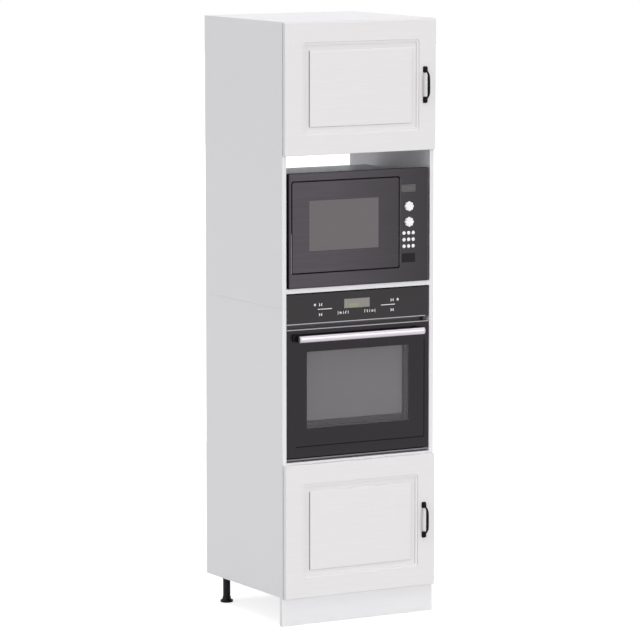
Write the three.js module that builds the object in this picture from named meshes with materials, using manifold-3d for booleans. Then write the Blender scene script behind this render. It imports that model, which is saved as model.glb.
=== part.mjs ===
// A tall kitchen housing unit with a panel door above and below, a built-in microwave
// oven in its middle niche and a built-in oven under it.
// Millimetres. X runs to the right seen from the front, Y to the back, Z up.
// While the pieces are made, y = 0 is the front face of the closed doors and z = 0 the
// floor. The finished group is then moved so that its origin is the middle of its foot.

import * as THREE from 'three';
import { mergeVertices } from 'three/addons/utils/BufferGeometryUtils.js';
import Module from 'manifold-3d';

const wasm = await Module();
wasm.setup();

// ---------------------------------------------------------------- cabinet
const cabinetWidth = 600;
const cabinetHeight = 2070;
const cabinetDepth = 570; // from the doors' front face to the back of the unit
const boardThickness = 16;
const boardEdge = 0.8; // edge band's rounding
const backThickness = 3;
const backInset = 1; // back panels stop this far inside the side panels' outer faces
const touchGap = 0.3; // between two pieces that touch
const sideSeamHeight = 1097; // each side is made of two boards, one above the other
const ovenNicheHeight = 581;
const microwaveNicheHeight = 456;

// ---------------------------------------------------------------- plinth and feet
const footHeight = 100;
const footInsetX = 49; // foot's axis to the unit's side
const frontFootSetback = 57; // foot's axis behind the carcass front
const rearFootInset = 56; // foot's axis in front of the carcass back
const footBaseRadius = 25;
const footBaseHeight = 13;
const footStemRadius = 14;
const footFlangeRadius = 29;
const footFlangeThickness = 4;
const plinthSetback = 4;
const plinthFloorGap = 1;

// ---------------------------------------------------------------- panel doors
const doorThickness = 16;
const doorBufferGap = 2; // soft buffers hold the doors this far from the carcass
const doorSideMargin = 3; // the doors are this much narrower than the unit at each side
const doorEdgeRadius = 2.5;
const upperDoorTopMargin = 2;
const lowerDoorHeight = 462.5;
const lowerDoorDrop = 2.5; // the lower door hangs this far below the carcass
const shelfAboveLowerDoor = 7;
const upperFloorOverlap = 2;
const doorFrameWidth = 72; // flat border outside the routed groove
const grooveWidth = 12;
const grooveDepth = 4;
const grooveCornerRadius = 16;
const fieldSlopeWidth = 13;
const fieldDrop = 0.5; // the raised field lies this far under the border

// ---------------------------------------------------------------- pulls
const pullHoleSpacing = 104;
const pullInset = 45; // pull's axis to the door's free edge
const pullProjection = 30;
const pullBarRadius = 4.6;
const pullNeckRadius = 2.9;
const pullBlockWidth = 16;
const pullBlockHeight = 22;
const pullBlockDepth = 11;

// ---------------------------------------------------------------- cup hinges
const hingeEndDistance = 80; // hinge's middle to the door's end
const cupRadius = 17.5;
const cupDepth = 11.8;
const cupWall = 1;
const cupEdgeDistance = 4.5; // cup's rim to the door's edge
const cupFlangeThickness = 1.2;
const cupFlangeHeight = 54;
const cupFlangeWidth = 24;
const hingeArmHeight = 13;
const hingeArmLength = 60;
const hingeArmReach = 25; // arm's nose to the side board
const hingeNoseRadius = 6;
const hingeRailDepth = 13; // arm's depth off the side board behind its nose
const hingePlateHeight = 52;
const hingePlateLength = 22;
const hingePlateOffset = 26; // plate's front edge behind the arm's nose
const hingePlateThickness = 2;

// ---------------------------------------------------------------- microwave oven
const microwaveSideGap = 8;
const microwaveHeight = 392;
const microwaveStandGap = 1;
const microwaveProud = 8; // front face ahead of the carcass front
const microwaveFrameDepth = 20;
const microwaveBevel = 5;
const microwaveBevelDepth = 3;
const microwaveBorderLeft = 9.5;
const microwaveBorderTop = 28;
const microwaveBorderBottom = 51;
const controlStripWidth = 119;
const controlInset = 82; // controls' middle line to the frame's right edge
const controlFaceThickness = 3;
const microwaveDoorGap = 2;
const microwaveDoorThickness = 19.8; // its back stops just ahead of the cavity's front plate
const microwaveDoorCorner = 7;
const microwaveWindowMarginLeft = 66;
const microwaveWindowMarginRight = 80;
const microwaveWindowMarginTop = 64;
const microwaveWindowMarginBottom = 72;
const microwavePaneThickness = 3;
const microwavePaneSink = 0.6;
const lcdDrop = 69; // display's middle under the frame's top
const lcdWidth = 57;
const lcdHeight = 25;
const lcdSink = 0.5;
const knobDrop = 131;
const knobSpacing = 54;
const knobRadius = 17;
const knobHeight = 9;
const knobLobes = 10;
const knobLobeDepth = 0.9;
const knobShaftRadius = 3;
const keyDrop = 223;
const keyPitchX = 18.3;
const keyPitchZ = 23;
const keyRadius = 6.8;
const keyProud = 2.4;
const keyTravelRoom = 9; // key's length behind the control face
const openKeyDrop = 309;
const openKeyWidth = 52;
const openKeyHeight = 30;
const openKeyProud = 0.8;
const slideClearance = 0.5; // round each key and shaft
const collarOverlap = 1.5; // a key's collar is this much wider than the key
const collarThickness = 1.5;
const caseInsetX = 26; // case side inside the frame's side
const caseTopDrop = 17;
const caseDepth = 363;
const caseFootHeight = 5;
const caseFootWidth = 20;
const caseFootInset = 40;
const caseSlotCount = 9;
const caseSlotPitch = 14;
const caseSlotHeight = 70;
const caseSlotLift = 60; // slots' lower end above the case's floor
const caseSlotInset = 44; // last slot to the case's right side
const slotWidth = 5.5;
const sheetThickness = 1.2;
const cavityMargin = 20; // cavity's wall inside the door's edge
const microwaveCavityDepth = 322;
const turntableRadius = 135;
const turntableThickness = 5;
const rollerRingRadius = 88;
const rollerRadius = 6.5;
const rollerWidth = 7;
const ringBarWidth = 7;
const ringBarHeight = 5;
const driveHubRadius = 22;

// ---------------------------------------------------------------- oven
const ovenSideGap = 1.5;
const ovenTopGap = 4;
const ovenSetback = 3; // front face behind the carcass front
const ovenFasciaHeight = 104;
const ovenFasciaWall = 3;
const ovenDoorTopGap = 16; // cooling slot between fascia and door
const ovenDoorBottomGap = 15; // door's lower edge above the oven shelf
const ovenDoorThickness = 34;
const ovenGlassThickness = 5;
const ovenDoorSheet = 1.5;
const ovenGlassCorner = 2;
const ovenWindowMarginX = 80; // clear window inside the door's side
const ovenWindowMarginTop = 79;
const ovenWindowMarginBottom = 98;
const ovenInnerGlassOverlap = 18;
const ovenSealRoom = 6; // door's back to the oven's front wall
const sealGap = 0.5; // door's back to the rim round the cavity's mouth
const sealRimWidth = 9;
const ovenBackRoom = 20;
const ventSlotCount = 8;
const ventSlotPitch = 12;
const ventSlotLength = 180;
const ventSlotDrop = 34; // first slot under the casing's top
const ovenCavityMarginX = 57;
const ovenCavityMarginTop = 39;
const ovenCavityMarginBottom = 58;
const ovenCavityBackRoom = 60;
const ovenDisplayWidth = 101;
const ovenDisplayHeight = 32;
const ovenDisplayDrop = 42;
const ovenDisplayOffset = -4.5;
const ovenDisplaySink = 0.4;
const ovenTrimHeight = 5.5;
const ovenTrimLip = 3;
const ovenTrimLift = 6; // trim's lower edge above the oven shelf
const handleDrop = 31; // bar's axis under the door's top
const handleStandoff = 29; // bar's axis ahead of the door's face
const handleBarHeight = 24;
const handleBarDepth = 16;
const handleBarWall = 1.5;
const handleEndInset = 38; // bar's end to the door's side
const handleCapThickness = 3;
const handlePostWidth = 18; // the arm behind the bar, cap included
const handlePostHeight = 23;
const handlePostCorner = 3;
const handleFootReach = 10; // the foot stands out past the cap by this
const handleFootMargin = 3; // and past the arm's inner side by this
const handleFootThickness = 5;
const handleFootCorner = 5;
const handleFootEdge = 1.2;
const rackWire = 5;
const rackRail = 8;
const rackWireCount = 13;
const rackHeight = 110; // over the cavity's floor
const rackFrontRoom = 26; // rack's front to the oven's front wall
const rackBackRoom = 12;
const ledgeDepth = 9;
const ledgeHeight = 6;
const ledgeSpacing = 75;

// ---------------------------------------------------------------- planes that follow
const halfWidth = cabinetWidth / 2;
const nicheHalf = halfWidth - boardThickness;
const boardHalf = nicheHalf - touchGap;
const carcassFront = doorThickness + doorBufferGap;
const carcassBack = cabinetDepth - backThickness - touchGap;
const carcassBottom = footHeight;
const doorHalf = halfWidth - doorSideMargin;
const lowerDoorBottom = carcassBottom - lowerDoorDrop;
const lowerDoorTop = lowerDoorBottom + lowerDoorHeight;
const upperDoorTop = cabinetHeight - upperDoorTopMargin;
const ovenShelfTop = lowerDoorTop + shelfAboveLowerDoor;
const middleShelfBottom = ovenShelfTop + ovenNicheHeight;
const middleShelfTop = middleShelfBottom + boardThickness;
const upperFloorBottom = middleShelfTop + microwaveNicheHeight;
const upperDoorBottom = upperFloorBottom - upperFloorOverlap;

// ---------------------------------------------------------------- finishes
function finish(color, roughness, metalness) {
  return new THREE.MeshStandardMaterial({ color, roughness, metalness });
}

const whiteBoard = finish(0xeeedef, 0.5, 0);
const whiteFoil = finish(0xe8e7e8, 0.45, 0);
const greyBack = finish(0xd8d6d2, 0.7, 0);
const blackPlastic = finish(0x18181a, 0.5, 0);
const blackIron = finish(0x141416, 0.45, 0.6);
const nickel = finish(0xb9b9bd, 0.35, 1);
const darkGlass = finish(0x2e2d31, 0.12, 0);
const smokedGlass = finish(0x74727a, 0.15, 0);
const greyFrame = finish(0x4e4c51, 0.4, 0.1);
const whitePlastic = finish(0xf4f4f5, 0.4, 0);
const displayGlass = finish(0x8d9089, 0.2, 0);
const galvanised = finish(0x9a9a9e, 0.45, 0.9);
const greyEnamel = finish(0x3a3a3e, 0.35, 0.1);
const clearGlass = finish(0xc8d2d0, 0.08, 0);
const satinSteel = finish(0xd4d2d8, 0.3, 0.9);

// ---------------------------------------------------------------- shape tools
const X = new THREE.Vector3(1, 0, 0);
const Y = new THREE.Vector3(0, 1, 0);
const Z = new THREE.Vector3(0, 0, 1);

// For a plate whose thickness runs along the key's axis: the directions of its outline's
// width, its outline's height and its thickness.
const plateAxes = {
  x: [Y, Z, X],
  y: [X, Z, Y.clone().negate()],
  z: [X, Y, Z],
};

function roundedOutline(width, height, radius) {
  const w = width / 2;
  const h = height / 2;
  const outline = new THREE.Shape();
  if (radius <= 0) {
    outline.moveTo(-w, -h).lineTo(w, -h).lineTo(w, h).lineTo(-w, h).closePath();
    return outline;
  }
  outline.absarc(w - radius, -h + radius, radius, -Math.PI / 2, 0, false);
  outline.absarc(w - radius, h - radius, radius, 0, Math.PI / 2, false);
  outline.absarc(-w + radius, h - radius, radius, Math.PI / 2, Math.PI, false);
  outline.absarc(-w + radius, -h + radius, radius, Math.PI, Math.PI * 1.5, false);
  outline.closePath();
  return outline;
}

function span(box, direction) {
  const key = ['x', 'y', 'z'].find((name) => Math.abs(direction[name]) > 0.5);
  const [low, high] = box[key];
  return { size: high - low, middle: (low + high) / 2 };
}

// A plate that fills the box { x: [low, high], y: ..., z: ... }. The corners of its
// outline get a radius, and the rims of its two faces a rounding of the given edge.
function plate(box, axis, { corner = 0, edge = 0, steps = 1, arcs = 2 } = {}) {
  const [across, up, through] = plateAxes[axis];
  const thickness = span(box, through).size;
  const outline = roundedOutline(span(box, across).size, span(box, up).size, corner);
  const geometry = new THREE.ExtrudeGeometry(outline, {
    depth: thickness - 2 * edge,
    bevelEnabled: edge > 0,
    bevelThickness: edge,
    bevelSize: edge,
    bevelOffset: -edge,
    bevelSegments: steps,
    curveSegments: arcs,
  });
  geometry.translate(0, 0, edge - thickness / 2);
  geometry.applyMatrix4(new THREE.Matrix4().makeBasis(across, up, through));
  return geometry.translate(span(box, X).middle, span(box, Y).middle, span(box, Z).middle);
}

// A pad that stands on the plane y = base and tapers towards the front. Its outline is
// drawn in by inset(t) as t goes from 0 at the base to 1 at its face.
function taperedPad({ x, z, width, height, corner, base, rise, inset, steps, arcs = 2 }) {
  const geometry = new THREE.ExtrudeGeometry(roundedOutline(width, height, corner), {
    depth: rise,
    steps,
    bevelEnabled: false,
    curveSegments: arcs,
  });
  const place = geometry.getAttribute('position');
  for (let i = 0; i < place.count; i += 1) {
    const drawn = inset(Math.min(place.getZ(i) / rise, 1));
    place.setX(i, place.getX(i) * (1 - (2 * drawn) / width));
    place.setY(i, place.getY(i) * (1 - (2 * drawn) / height));
  }
  geometry.applyMatrix4(new THREE.Matrix4().makeBasis(...plateAxes.y));
  return geometry.translate(x, base, z);
}

// A body of revolution about the vertical line through (x, y): profile is a list of
// [radius, height] that starts and ends on the axis, or closes on itself.
function turned(profile, x, y, sides) {
  const points = profile.map(([radius, height]) => new THREE.Vector2(radius, height));
  const geometry = new THREE.LatheGeometry(points, sides);
  geometry.rotateX(Math.PI / 2);
  return geometry.translate(x, y, 0);
}

// The same, about a line that runs to the front: each height counts ahead of y = base.
function turnedForward(profile, x, base, z, sides) {
  const points = profile.map(([radius, height]) => new THREE.Vector2(radius, height));
  const geometry = new THREE.LatheGeometry(points, sides);
  geometry.rotateX(Math.PI);
  return geometry.translate(x, base, z);
}

function rodAlongY(radius, front, back, x, z, sides = 16) {
  const geometry = new THREE.CylinderGeometry(radius, radius, back - front, sides);
  return geometry.translate(x, (front + back) / 2, z);
}

function rodAlongX(radius, low, high, y, z, sides = 10) {
  const geometry = new THREE.CylinderGeometry(radius, radius, high - low, sides);
  geometry.rotateZ(Math.PI / 2);
  return geometry.translate((low + high) / 2, y, z);
}

function solidOf(geometry) {
  const bare = new THREE.BufferGeometry();
  bare.setAttribute('position', geometry.getAttribute('position').clone());
  if (geometry.index) {
    bare.setIndex(geometry.index.clone());
  }
  const merged = mergeVertices(bare, 1e-4);
  const mesh = new wasm.Mesh({
    numProp: 3,
    vertProperties: new Float32Array(merged.getAttribute('position').array),
    triVerts: new Uint32Array(merged.index.array),
  });
  mesh.merge();
  return new wasm.Manifold(mesh);
}

function geometryOf(solid) {
  const mesh = solid.getMesh();
  const geometry = new THREE.BufferGeometry();
  geometry.setAttribute('position', new THREE.BufferAttribute(mesh.vertProperties, 3));
  geometry.setIndex(new THREE.BufferAttribute(mesh.triVerts, 1));
  geometry.computeVertexNormals();
  return geometry;
}

function fuse(first, ...others) {
  return geometryOf(others.reduce((sum, piece) => sum.add(solidOf(piece)), solidOf(first)));
}

function cut(first, ...tools) {
  return geometryOf(tools.reduce((rest, tool) => rest.subtract(solidOf(tool)), solidOf(first)));
}

const unit = new THREE.Group();

function addPiece(name, geometry, material) {
  const mesh = new THREE.Mesh(geometry, material);
  mesh.name = name;
  unit.add(mesh);
}

// ---------------------------------------------------------------- carcass
function sideBoard(side, bottom, top) {
  const box = {
    x: side < 0 ? [-halfWidth, -nicheHalf] : [nicheHalf, halfWidth],
    y: [carcassFront, carcassBack],
    z: [bottom, top],
  };
  return plate(box, 'x', { edge: boardEdge });
}

function levelBoard(bottom) {
  const box = {
    x: [-boardHalf, boardHalf],
    y: [carcassFront, carcassBack],
    z: [bottom, bottom + boardThickness],
  };
  return plate(box, 'z', { edge: boardEdge });
}

function backBoard(bottom, top) {
  const box = {
    x: [-halfWidth + backInset, halfWidth - backInset],
    y: [cabinetDepth - backThickness, cabinetDepth],
    z: [bottom, top],
  };
  return plate(box, 'y');
}

function addCarcass() {
  const seam = sideSeamHeight + touchGap;
  for (const [side, word] of [[-1, 'left'], [1, 'right']]) {
    addPiece(`side_${word}_lower`, sideBoard(side, carcassBottom, sideSeamHeight), whiteBoard);
    addPiece(`side_${word}_upper`, sideBoard(side, seam, cabinetHeight), whiteBoard);
  }
  addPiece('bottom_panel', levelBoard(carcassBottom), whiteBoard);
  addPiece('oven_shelf', levelBoard(ovenShelfTop - boardThickness), whiteBoard);
  addPiece('middle_shelf', levelBoard(middleShelfBottom), whiteBoard);
  addPiece('upper_cupboard_floor', levelBoard(upperFloorBottom), whiteBoard);
  addPiece('top_panel', levelBoard(cabinetHeight - boardThickness), whiteBoard);
  addPiece('back_panel_lower', backBoard(carcassBottom, ovenShelfTop), greyBack);
  addPiece('back_panel_upper', backBoard(upperFloorBottom, cabinetHeight), greyBack);
}

// ---------------------------------------------------------------- plinth and feet
function addPlinth() {
  const front = carcassFront + plinthSetback;
  const box = {
    x: [-halfWidth, halfWidth],
    y: [front, front + boardThickness],
    z: [plinthFloorGap, carcassBottom - touchGap],
  };
  addPiece('plinth', plate(box, 'y', { edge: boardEdge }), whiteBoard);
}

function foot(x, y) {
  const top = footHeight - touchGap;
  const flange = top - footFlangeThickness;
  const profile = [
    [0, 0],
    [footBaseRadius - 1, 0],
    [footBaseRadius, 1],
    [footBaseRadius, footBaseHeight * 0.6],
    [footBaseRadius - 3, footBaseHeight - 2],
    [footStemRadius + 2, footBaseHeight],
    [footStemRadius - 0.5, footBaseHeight + 2],
    [footStemRadius, flange - 2],
    [footStemRadius + 2, flange],
    [footFlangeRadius, flange],
    [footFlangeRadius, top],
    [0, top],
  ];
  return turned(profile, x, y, 16);
}

function addFeet() {
  const rows = [['front', carcassFront + frontFootSetback], ['rear', carcassBack - rearFootInset]];
  for (const [row, y] of rows) {
    addPiece(`foot_${row}_left`, foot(-halfWidth + footInsetX, y), blackPlastic);
    addPiece(`foot_${row}_right`, foot(halfWidth - footInsetX, y), blackPlastic);
  }
}

// ---------------------------------------------------------------- panel doors
// A routed door: a flat border, a groove with a cove at its foot, and a field that rises
// from the groove on a slope.
function panelDoor(bottom, top) {
  const width = 2 * doorHalf;
  const height = top - bottom;
  const middle = (bottom + top) / 2;
  const cove = grooveDepth / 3;
  const slab = plate(
    { x: [-doorHalf, doorHalf], y: [0, doorThickness + 2 * doorEdgeRadius], z: [bottom, top] },
    'y',
    { edge: doorEdgeRadius, steps: 3 },
  );
  const behind = plate(
    { x: [-width, width], y: [doorThickness, 2 * doorThickness], z: [bottom - 1, top + 1] },
    'y',
  );
  const recess = taperedPad({
    x: 0,
    z: middle,
    width: width - 2 * doorFrameWidth,
    height: height - 2 * doorFrameWidth,
    corner: grooveCornerRadius,
    base: grooveDepth,
    rise: 2 * grooveDepth,
    inset: (t) => (t === 0 ? cove : 0),
    steps: 6,
    arcs: 3,
  });
  const fieldMargin = doorFrameWidth + grooveWidth;
  const field = taperedPad({
    x: 0,
    z: middle,
    width: width - 2 * fieldMargin,
    height: height - 2 * fieldMargin,
    corner: grooveCornerRadius - grooveWidth,
    base: grooveDepth,
    rise: grooveDepth - fieldDrop,
    inset: (t) => fieldSlopeWidth * (1 - Math.sqrt(1 - t * t)) ** 0.75,
    steps: 4,
  });
  const root = plate(
    {
      x: [-doorHalf + fieldMargin, doorHalf - fieldMargin],
      y: [grooveDepth - 0.5, grooveDepth + 1],
      z: [bottom + fieldMargin, top - fieldMargin],
    },
    'y',
    { corner: grooveCornerRadius - grooveWidth },
  );
  const routed = cut(slab, behind, recess);
  return cut(fuse(routed, root, field), ...cupBores(bottom, top));
}

function hingeHeights(bottom, top) {
  return [bottom + hingeEndDistance, top - hingeEndDistance];
}

const cupX = -doorHalf + cupEdgeDistance + cupRadius;

function cupBores(bottom, top) {
  const front = doorThickness - cupDepth - touchGap;
  return hingeHeights(bottom, top).map((z) =>
    rodAlongY(cupRadius + touchGap, front, doorThickness + 1, cupX, z, 20),
  );
}

// The pressed cup that sits in the door's bore, with its screw flange on the door's back.
function hingeCup(z) {
  const seat = doorThickness + touchGap;
  const flange = plate(
    {
      x: [cupX - cupFlangeWidth / 2, cupX + cupFlangeWidth / 2],
      y: [seat, seat + cupFlangeThickness],
      z: [z - cupFlangeHeight / 2, z + cupFlangeHeight / 2],
    },
    'y',
    { corner: 5 },
  );
  const front = doorThickness - cupDepth;
  const back = seat + cupFlangeThickness;
  const cup = rodAlongY(cupRadius, front, back, cupX, z);
  const rim = rodAlongY(cupRadius + 2, seat, back, cupX, z);
  const hollow = rodAlongY(cupRadius - cupWall, front + cupWall, back + 1, cupX, z);
  return cut(fuse(cup, rim, flange), hollow);
}

// The fixed half: a mounting plate on the side board, and the arm that reaches to the cup.
function hingeArm(z) {
  const wall = -nicheHalf + touchGap;
  const tip = carcassFront + touchGap;
  const back = tip + hingeArmLength;
  const noseX = wall + hingeArmReach - hingeNoseRadius;
  const rail = wall + hingePlateThickness / 2;
  const outline = new THREE.Shape();
  outline.moveTo(noseX - 1.5 * hingeNoseRadius, tip);
  outline.absarc(noseX, tip + hingeNoseRadius, hingeNoseRadius, -Math.PI / 2, Math.PI / 3, false);
  outline.lineTo(wall + hingeRailDepth, tip + hingePlateOffset + hingeNoseRadius);
  outline.lineTo(wall + hingeRailDepth, back);
  outline.lineTo(rail, back);
  outline.lineTo(rail, tip + hingePlateOffset);
  outline.lineTo(noseX - 2 * hingeNoseRadius, tip + hingePlateOffset - hingeNoseRadius);
  outline.closePath();
  const arm = new THREE.ExtrudeGeometry(outline, {
    depth: hingeArmHeight,
    bevelEnabled: false,
    curveSegments: 6,
  });
  arm.translate(0, 0, z - hingeArmHeight / 2);
  const mounting = plate(
    {
      x: [wall, wall + hingePlateThickness],
      y: [tip + hingePlateOffset, tip + hingePlateOffset + hingePlateLength],
      z: [z - hingePlateHeight / 2, z + hingePlateHeight / 2],
    },
    'x',
    { corner: 4 },
  );
  return fuse(arm, mounting);
}

// Thins or swells a bar that was extruded along a path: each of its points moves towards
// or away from the path by the factor that scaleAt gives for its place along it.
function swellAlong(geometry, path, steps, scaleAt) {
  const centres = path.getSpacedPoints(steps);
  const place = geometry.getAttribute('position');
  const point = new THREE.Vector3();
  for (let i = 0; i < place.count; i += 1) {
    point.fromBufferAttribute(place, i);
    let nearest = 0;
    centres.forEach((centre, n) => {
      if (centre.distanceTo(point) < centres[nearest].distanceTo(point)) {
        nearest = n;
      }
    });
    point.sub(centres[nearest]).multiplyScalar(scaleAt(nearest / steps)).add(centres[nearest]);
    place.setXYZ(i, point.x, point.y, point.z);
  }
  return geometry;
}

// A bow pull: two tapered blocks on the door, and a bar that bows out between them and
// swells towards its middle.
function bowPull(z) {
  const x = doorHalf - pullInset;
  const half = pullHoleSpacing / 2;
  const steps = 18;
  const route = [
    [-half, pullBlockDepth * 0.55],
    [-half * 0.86, pullProjection * 0.55],
    [-half * 0.66, pullProjection * 0.85],
    [-half * 0.35, pullProjection * 0.97],
    [0, pullProjection],
    [half * 0.35, pullProjection * 0.97],
    [half * 0.66, pullProjection * 0.85],
    [half * 0.86, pullProjection * 0.55],
    [half, pullBlockDepth * 0.55],
  ];
  const path = new THREE.CatmullRomCurve3(
    route.map(([height, out]) => new THREE.Vector3(x, -out, z + height)),
  );
  const section = new THREE.Shape().absarc(0, 0, pullBarRadius, 0, Math.PI * 2, false);
  const bar = new THREE.ExtrudeGeometry(section, { steps, extrudePath: path, curveSegments: 5 });
  const neck = pullNeckRadius / pullBarRadius;
  swellAlong(bar, path, steps, (t) => neck + (1 - neck) * Math.sin(Math.PI * t) ** 1.5);
  const blocks = [-half, half].map((height) =>
    taperedPad({
      x,
      z: z + height,
      width: pullBlockWidth,
      height: pullBlockHeight,
      corner: 3,
      base: -touchGap,
      rise: pullBlockDepth,
      inset: (t) => 3.5 * t ** 3,
      steps: 3,
    }),
  );
  return fuse(bar, ...blocks);
}

function addPanelDoor(word, bottom, top) {
  addPiece(`${word}_door`, panelDoor(bottom, top), whiteFoil);
  addPiece(`${word}_door_pull`, bowPull((bottom + top) / 2), blackIron);
  const ends = ['bottom', 'top'];
  hingeHeights(bottom, top).forEach((z, n) => {
    addPiece(`${word}_door_hinge_cup_${ends[n]}`, hingeCup(z), nickel);
    addPiece(`${word}_door_hinge_arm_${ends[n]}`, hingeArm(z), nickel);
  });
}

// ---------------------------------------------------------------- microwave oven
const frameHalf = nicheHalf - microwaveSideGap;
const frameBottom = middleShelfTop + microwaveStandGap;
const frameTop = frameBottom + microwaveHeight;
const frameFront = carcassFront - microwaveProud;
const frameBack = frameFront + microwaveFrameDepth;
const openingLeft = -frameHalf + microwaveBorderLeft;
const openingRight = frameHalf - controlStripWidth;
const openingTop = frameTop - microwaveBorderTop;
const openingBottom = frameBottom + microwaveBorderBottom;
const microwaveDoorBox = {
  x: [openingLeft + microwaveDoorGap, openingRight - microwaveDoorGap],
  y: [frameFront, frameFront + microwaveDoorThickness],
  z: [openingBottom + microwaveDoorGap, openingTop - microwaveDoorGap],
};
const microwaveWindowBox = {
  x: [
    microwaveDoorBox.x[0] + microwaveWindowMarginLeft,
    microwaveDoorBox.x[1] - microwaveWindowMarginRight,
  ],
  y: [frameFront + microwavePaneSink, frameFront + microwavePaneSink + microwavePaneThickness],
  z: [
    microwaveDoorBox.z[0] + microwaveWindowMarginBottom,
    microwaveDoorBox.z[1] - microwaveWindowMarginTop,
  ],
};
const microwaveCavityBox = {
  x: [microwaveDoorBox.x[0] + cavityMargin, microwaveDoorBox.x[1] - cavityMargin],
  y: [frameBack, frameBack + microwaveCavityDepth],
  z: [microwaveDoorBox.z[0] + cavityMargin, microwaveDoorBox.z[1] - cavityMargin],
};
const controlX = frameHalf - controlInset;
const controlBack = frameFront + controlFaceThickness;

// The same box, larger by the margin along x, y and z.
function grown(box, dx, dy, dz) {
  return {
    x: [box.x[0] - dx, box.x[1] + dx],
    y: [box.y[0] - dy, box.y[1] + dy],
    z: [box.z[0] - dz, box.z[1] + dz],
  };
}

function centredBox(x, z, width, height, front, back) {
  return {
    x: [x - width / 2, x + width / 2],
    y: [front, back],
    z: [z - height / 2, z + height / 2],
  };
}

function knobHeights() {
  return [frameTop - knobDrop, frameTop - knobDrop - knobSpacing];
}

// The nine keys' middles, in rows from the top, left to right.
function keyPlaces() {
  const places = [];
  for (const row of [0, 1, 2]) {
    for (const column of [-1, 0, 1]) {
      places.push([controlX + column * keyPitchX, frameTop - keyDrop - row * keyPitchZ]);
    }
  }
  return places;
}

function lcdBox(front, back) {
  return centredBox(controlX, frameTop - lcdDrop, lcdWidth, lcdHeight, front, back);
}

function openKeyBox(front, back) {
  return centredBox(controlX, frameTop - openKeyDrop, openKeyWidth, openKeyHeight, front, back);
}

// The built-in frame: bevelled all round, open at the door, and hollow behind the controls.
function microwaveFrame() {
  const bevel = microwaveBevel;
  const face = taperedPad({
    x: 0,
    z: (frameBottom + frameTop) / 2,
    width: 2 * frameHalf,
    height: microwaveHeight,
    corner: 0,
    base: frameFront + microwaveBevelDepth,
    rise: microwaveBevelDepth,
    inset: (t) => bevel * t,
    steps: 1,
  });
  const body = plate(
    {
      x: [-frameHalf, frameHalf],
      y: [frameFront + microwaveBevelDepth - 0.01, frameBack],
      z: [frameBottom, frameTop],
    },
    'y',
  );
  const opening = plate(
    {
      x: [openingLeft, openingRight],
      y: [frameFront - 1, frameBack + 1],
      z: [openingBottom, openingTop],
    },
    'y',
    { corner: microwaveDoorCorner },
  );
  const hollow = plate(
    {
      x: [openingRight + controlFaceThickness, frameHalf - bevel],
      y: [controlBack, frameBack + 1],
      z: [frameBottom + bevel, frameTop - bevel],
    },
    'y',
  );
  const lcd = plate(grown(lcdBox(frameFront - 1, controlBack + 1), touchGap, 0, touchGap), 'y');
  const openKey = plate(
    grown(openKeyBox(frameFront - 1, controlBack + 1), slideClearance, 0, slideClearance),
    'y',
    { corner: 2 },
  );
  const shafts = knobHeights().map((z) =>
    rodAlongY(knobShaftRadius + slideClearance, frameFront - 1, controlBack + 1, controlX, z, 12),
  );
  const keys = keyPlaces().map(([x, z]) =>
    rodAlongY(keyRadius + slideClearance, frameFront - 1, controlBack + 1, x, z),
  );
  return cut(fuse(body, face), opening, hollow, lcd, openKey, ...shafts, ...keys);
}

function microwaveDoor() {
  const door = plate(microwaveDoorBox, 'y', {
    corner: microwaveDoorCorner - microwaveDoorGap,
    edge: 1.2,
    steps: 2,
  });
  const window = plate(grown(microwaveWindowBox, touchGap, microwaveDoorThickness, touchGap), 'y');
  return cut(door, window);
}

function microwaveKnob(z) {
  const outline = new THREE.Shape();
  const count = knobLobes * 4;
  for (let i = 0; i < count; i += 1) {
    const turn = (i / count) * Math.PI * 2;
    const radius = knobRadius - knobLobeDepth * (1 - Math.cos(turn * knobLobes)) / 2;
    const point = [radius * Math.cos(turn), radius * Math.sin(turn)];
    if (i === 0) {
      outline.moveTo(...point);
    } else {
      outline.lineTo(...point);
    }
  }
  outline.closePath();
  const grip = new THREE.ExtrudeGeometry(outline, {
    depth: knobHeight - 3,
    bevelEnabled: true,
    bevelThickness: 1.5,
    bevelSize: 1.5,
    bevelOffset: -1.5,
    bevelSegments: 1,
  });
  grip.translate(0, 0, 1.5);
  grip.applyMatrix4(new THREE.Matrix4().makeBasis(...plateAxes.y));
  grip.translate(controlX, frameFront - touchGap, z);
  const shaft = rodAlongY(knobShaftRadius, frameFront - 2, controlBack + 8, controlX, z, 12);
  return fuse(grip, shaft);
}

// A round key: a domed cap through the frame's face, with a collar behind that stops it.
function microwaveKey(x, z) {
  const base = controlBack + keyTravelRoom;
  const face = base - frameFront + keyProud;
  const collar = keyTravelRoom - touchGap;
  const profile = [
    [0, 0],
    [keyRadius * 0.6, 0],
    [keyRadius * 0.6, collar - collarThickness],
    [keyRadius + collarOverlap, collar - collarThickness],
    [keyRadius + collarOverlap, collar],
    [keyRadius, collar],
    [keyRadius, face - 1],
    [keyRadius - 1, face - 0.2],
    [0, face],
  ];
  return turnedForward(profile, x, base, z, 12);
}

// The wide key that opens the door, with a collar behind the frame's face.
function microwaveOpenKey() {
  const front = frameFront - openKeyProud;
  const cap = plate(openKeyBox(front, controlBack + keyTravelRoom), 'y', {
    corner: 1.5,
    edge: 0.6,
  });
  const seat = controlBack + touchGap;
  const collar = plate(
    grown(openKeyBox(seat, seat + collarThickness), collarOverlap, 0, collarOverlap),
    'y',
  );
  return fuse(cap, collar);
}

function hollowBox(outer, wall) {
  const inner = {
    x: [outer.x[0] + wall, outer.x[1] - wall],
    y: [outer.y[0] - 1, outer.y[1] - wall],
    z: [outer.z[0] + wall, outer.z[1] - wall],
  };
  return cut(plate(outer, 'y'), plate(inner, 'y'));
}

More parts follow.
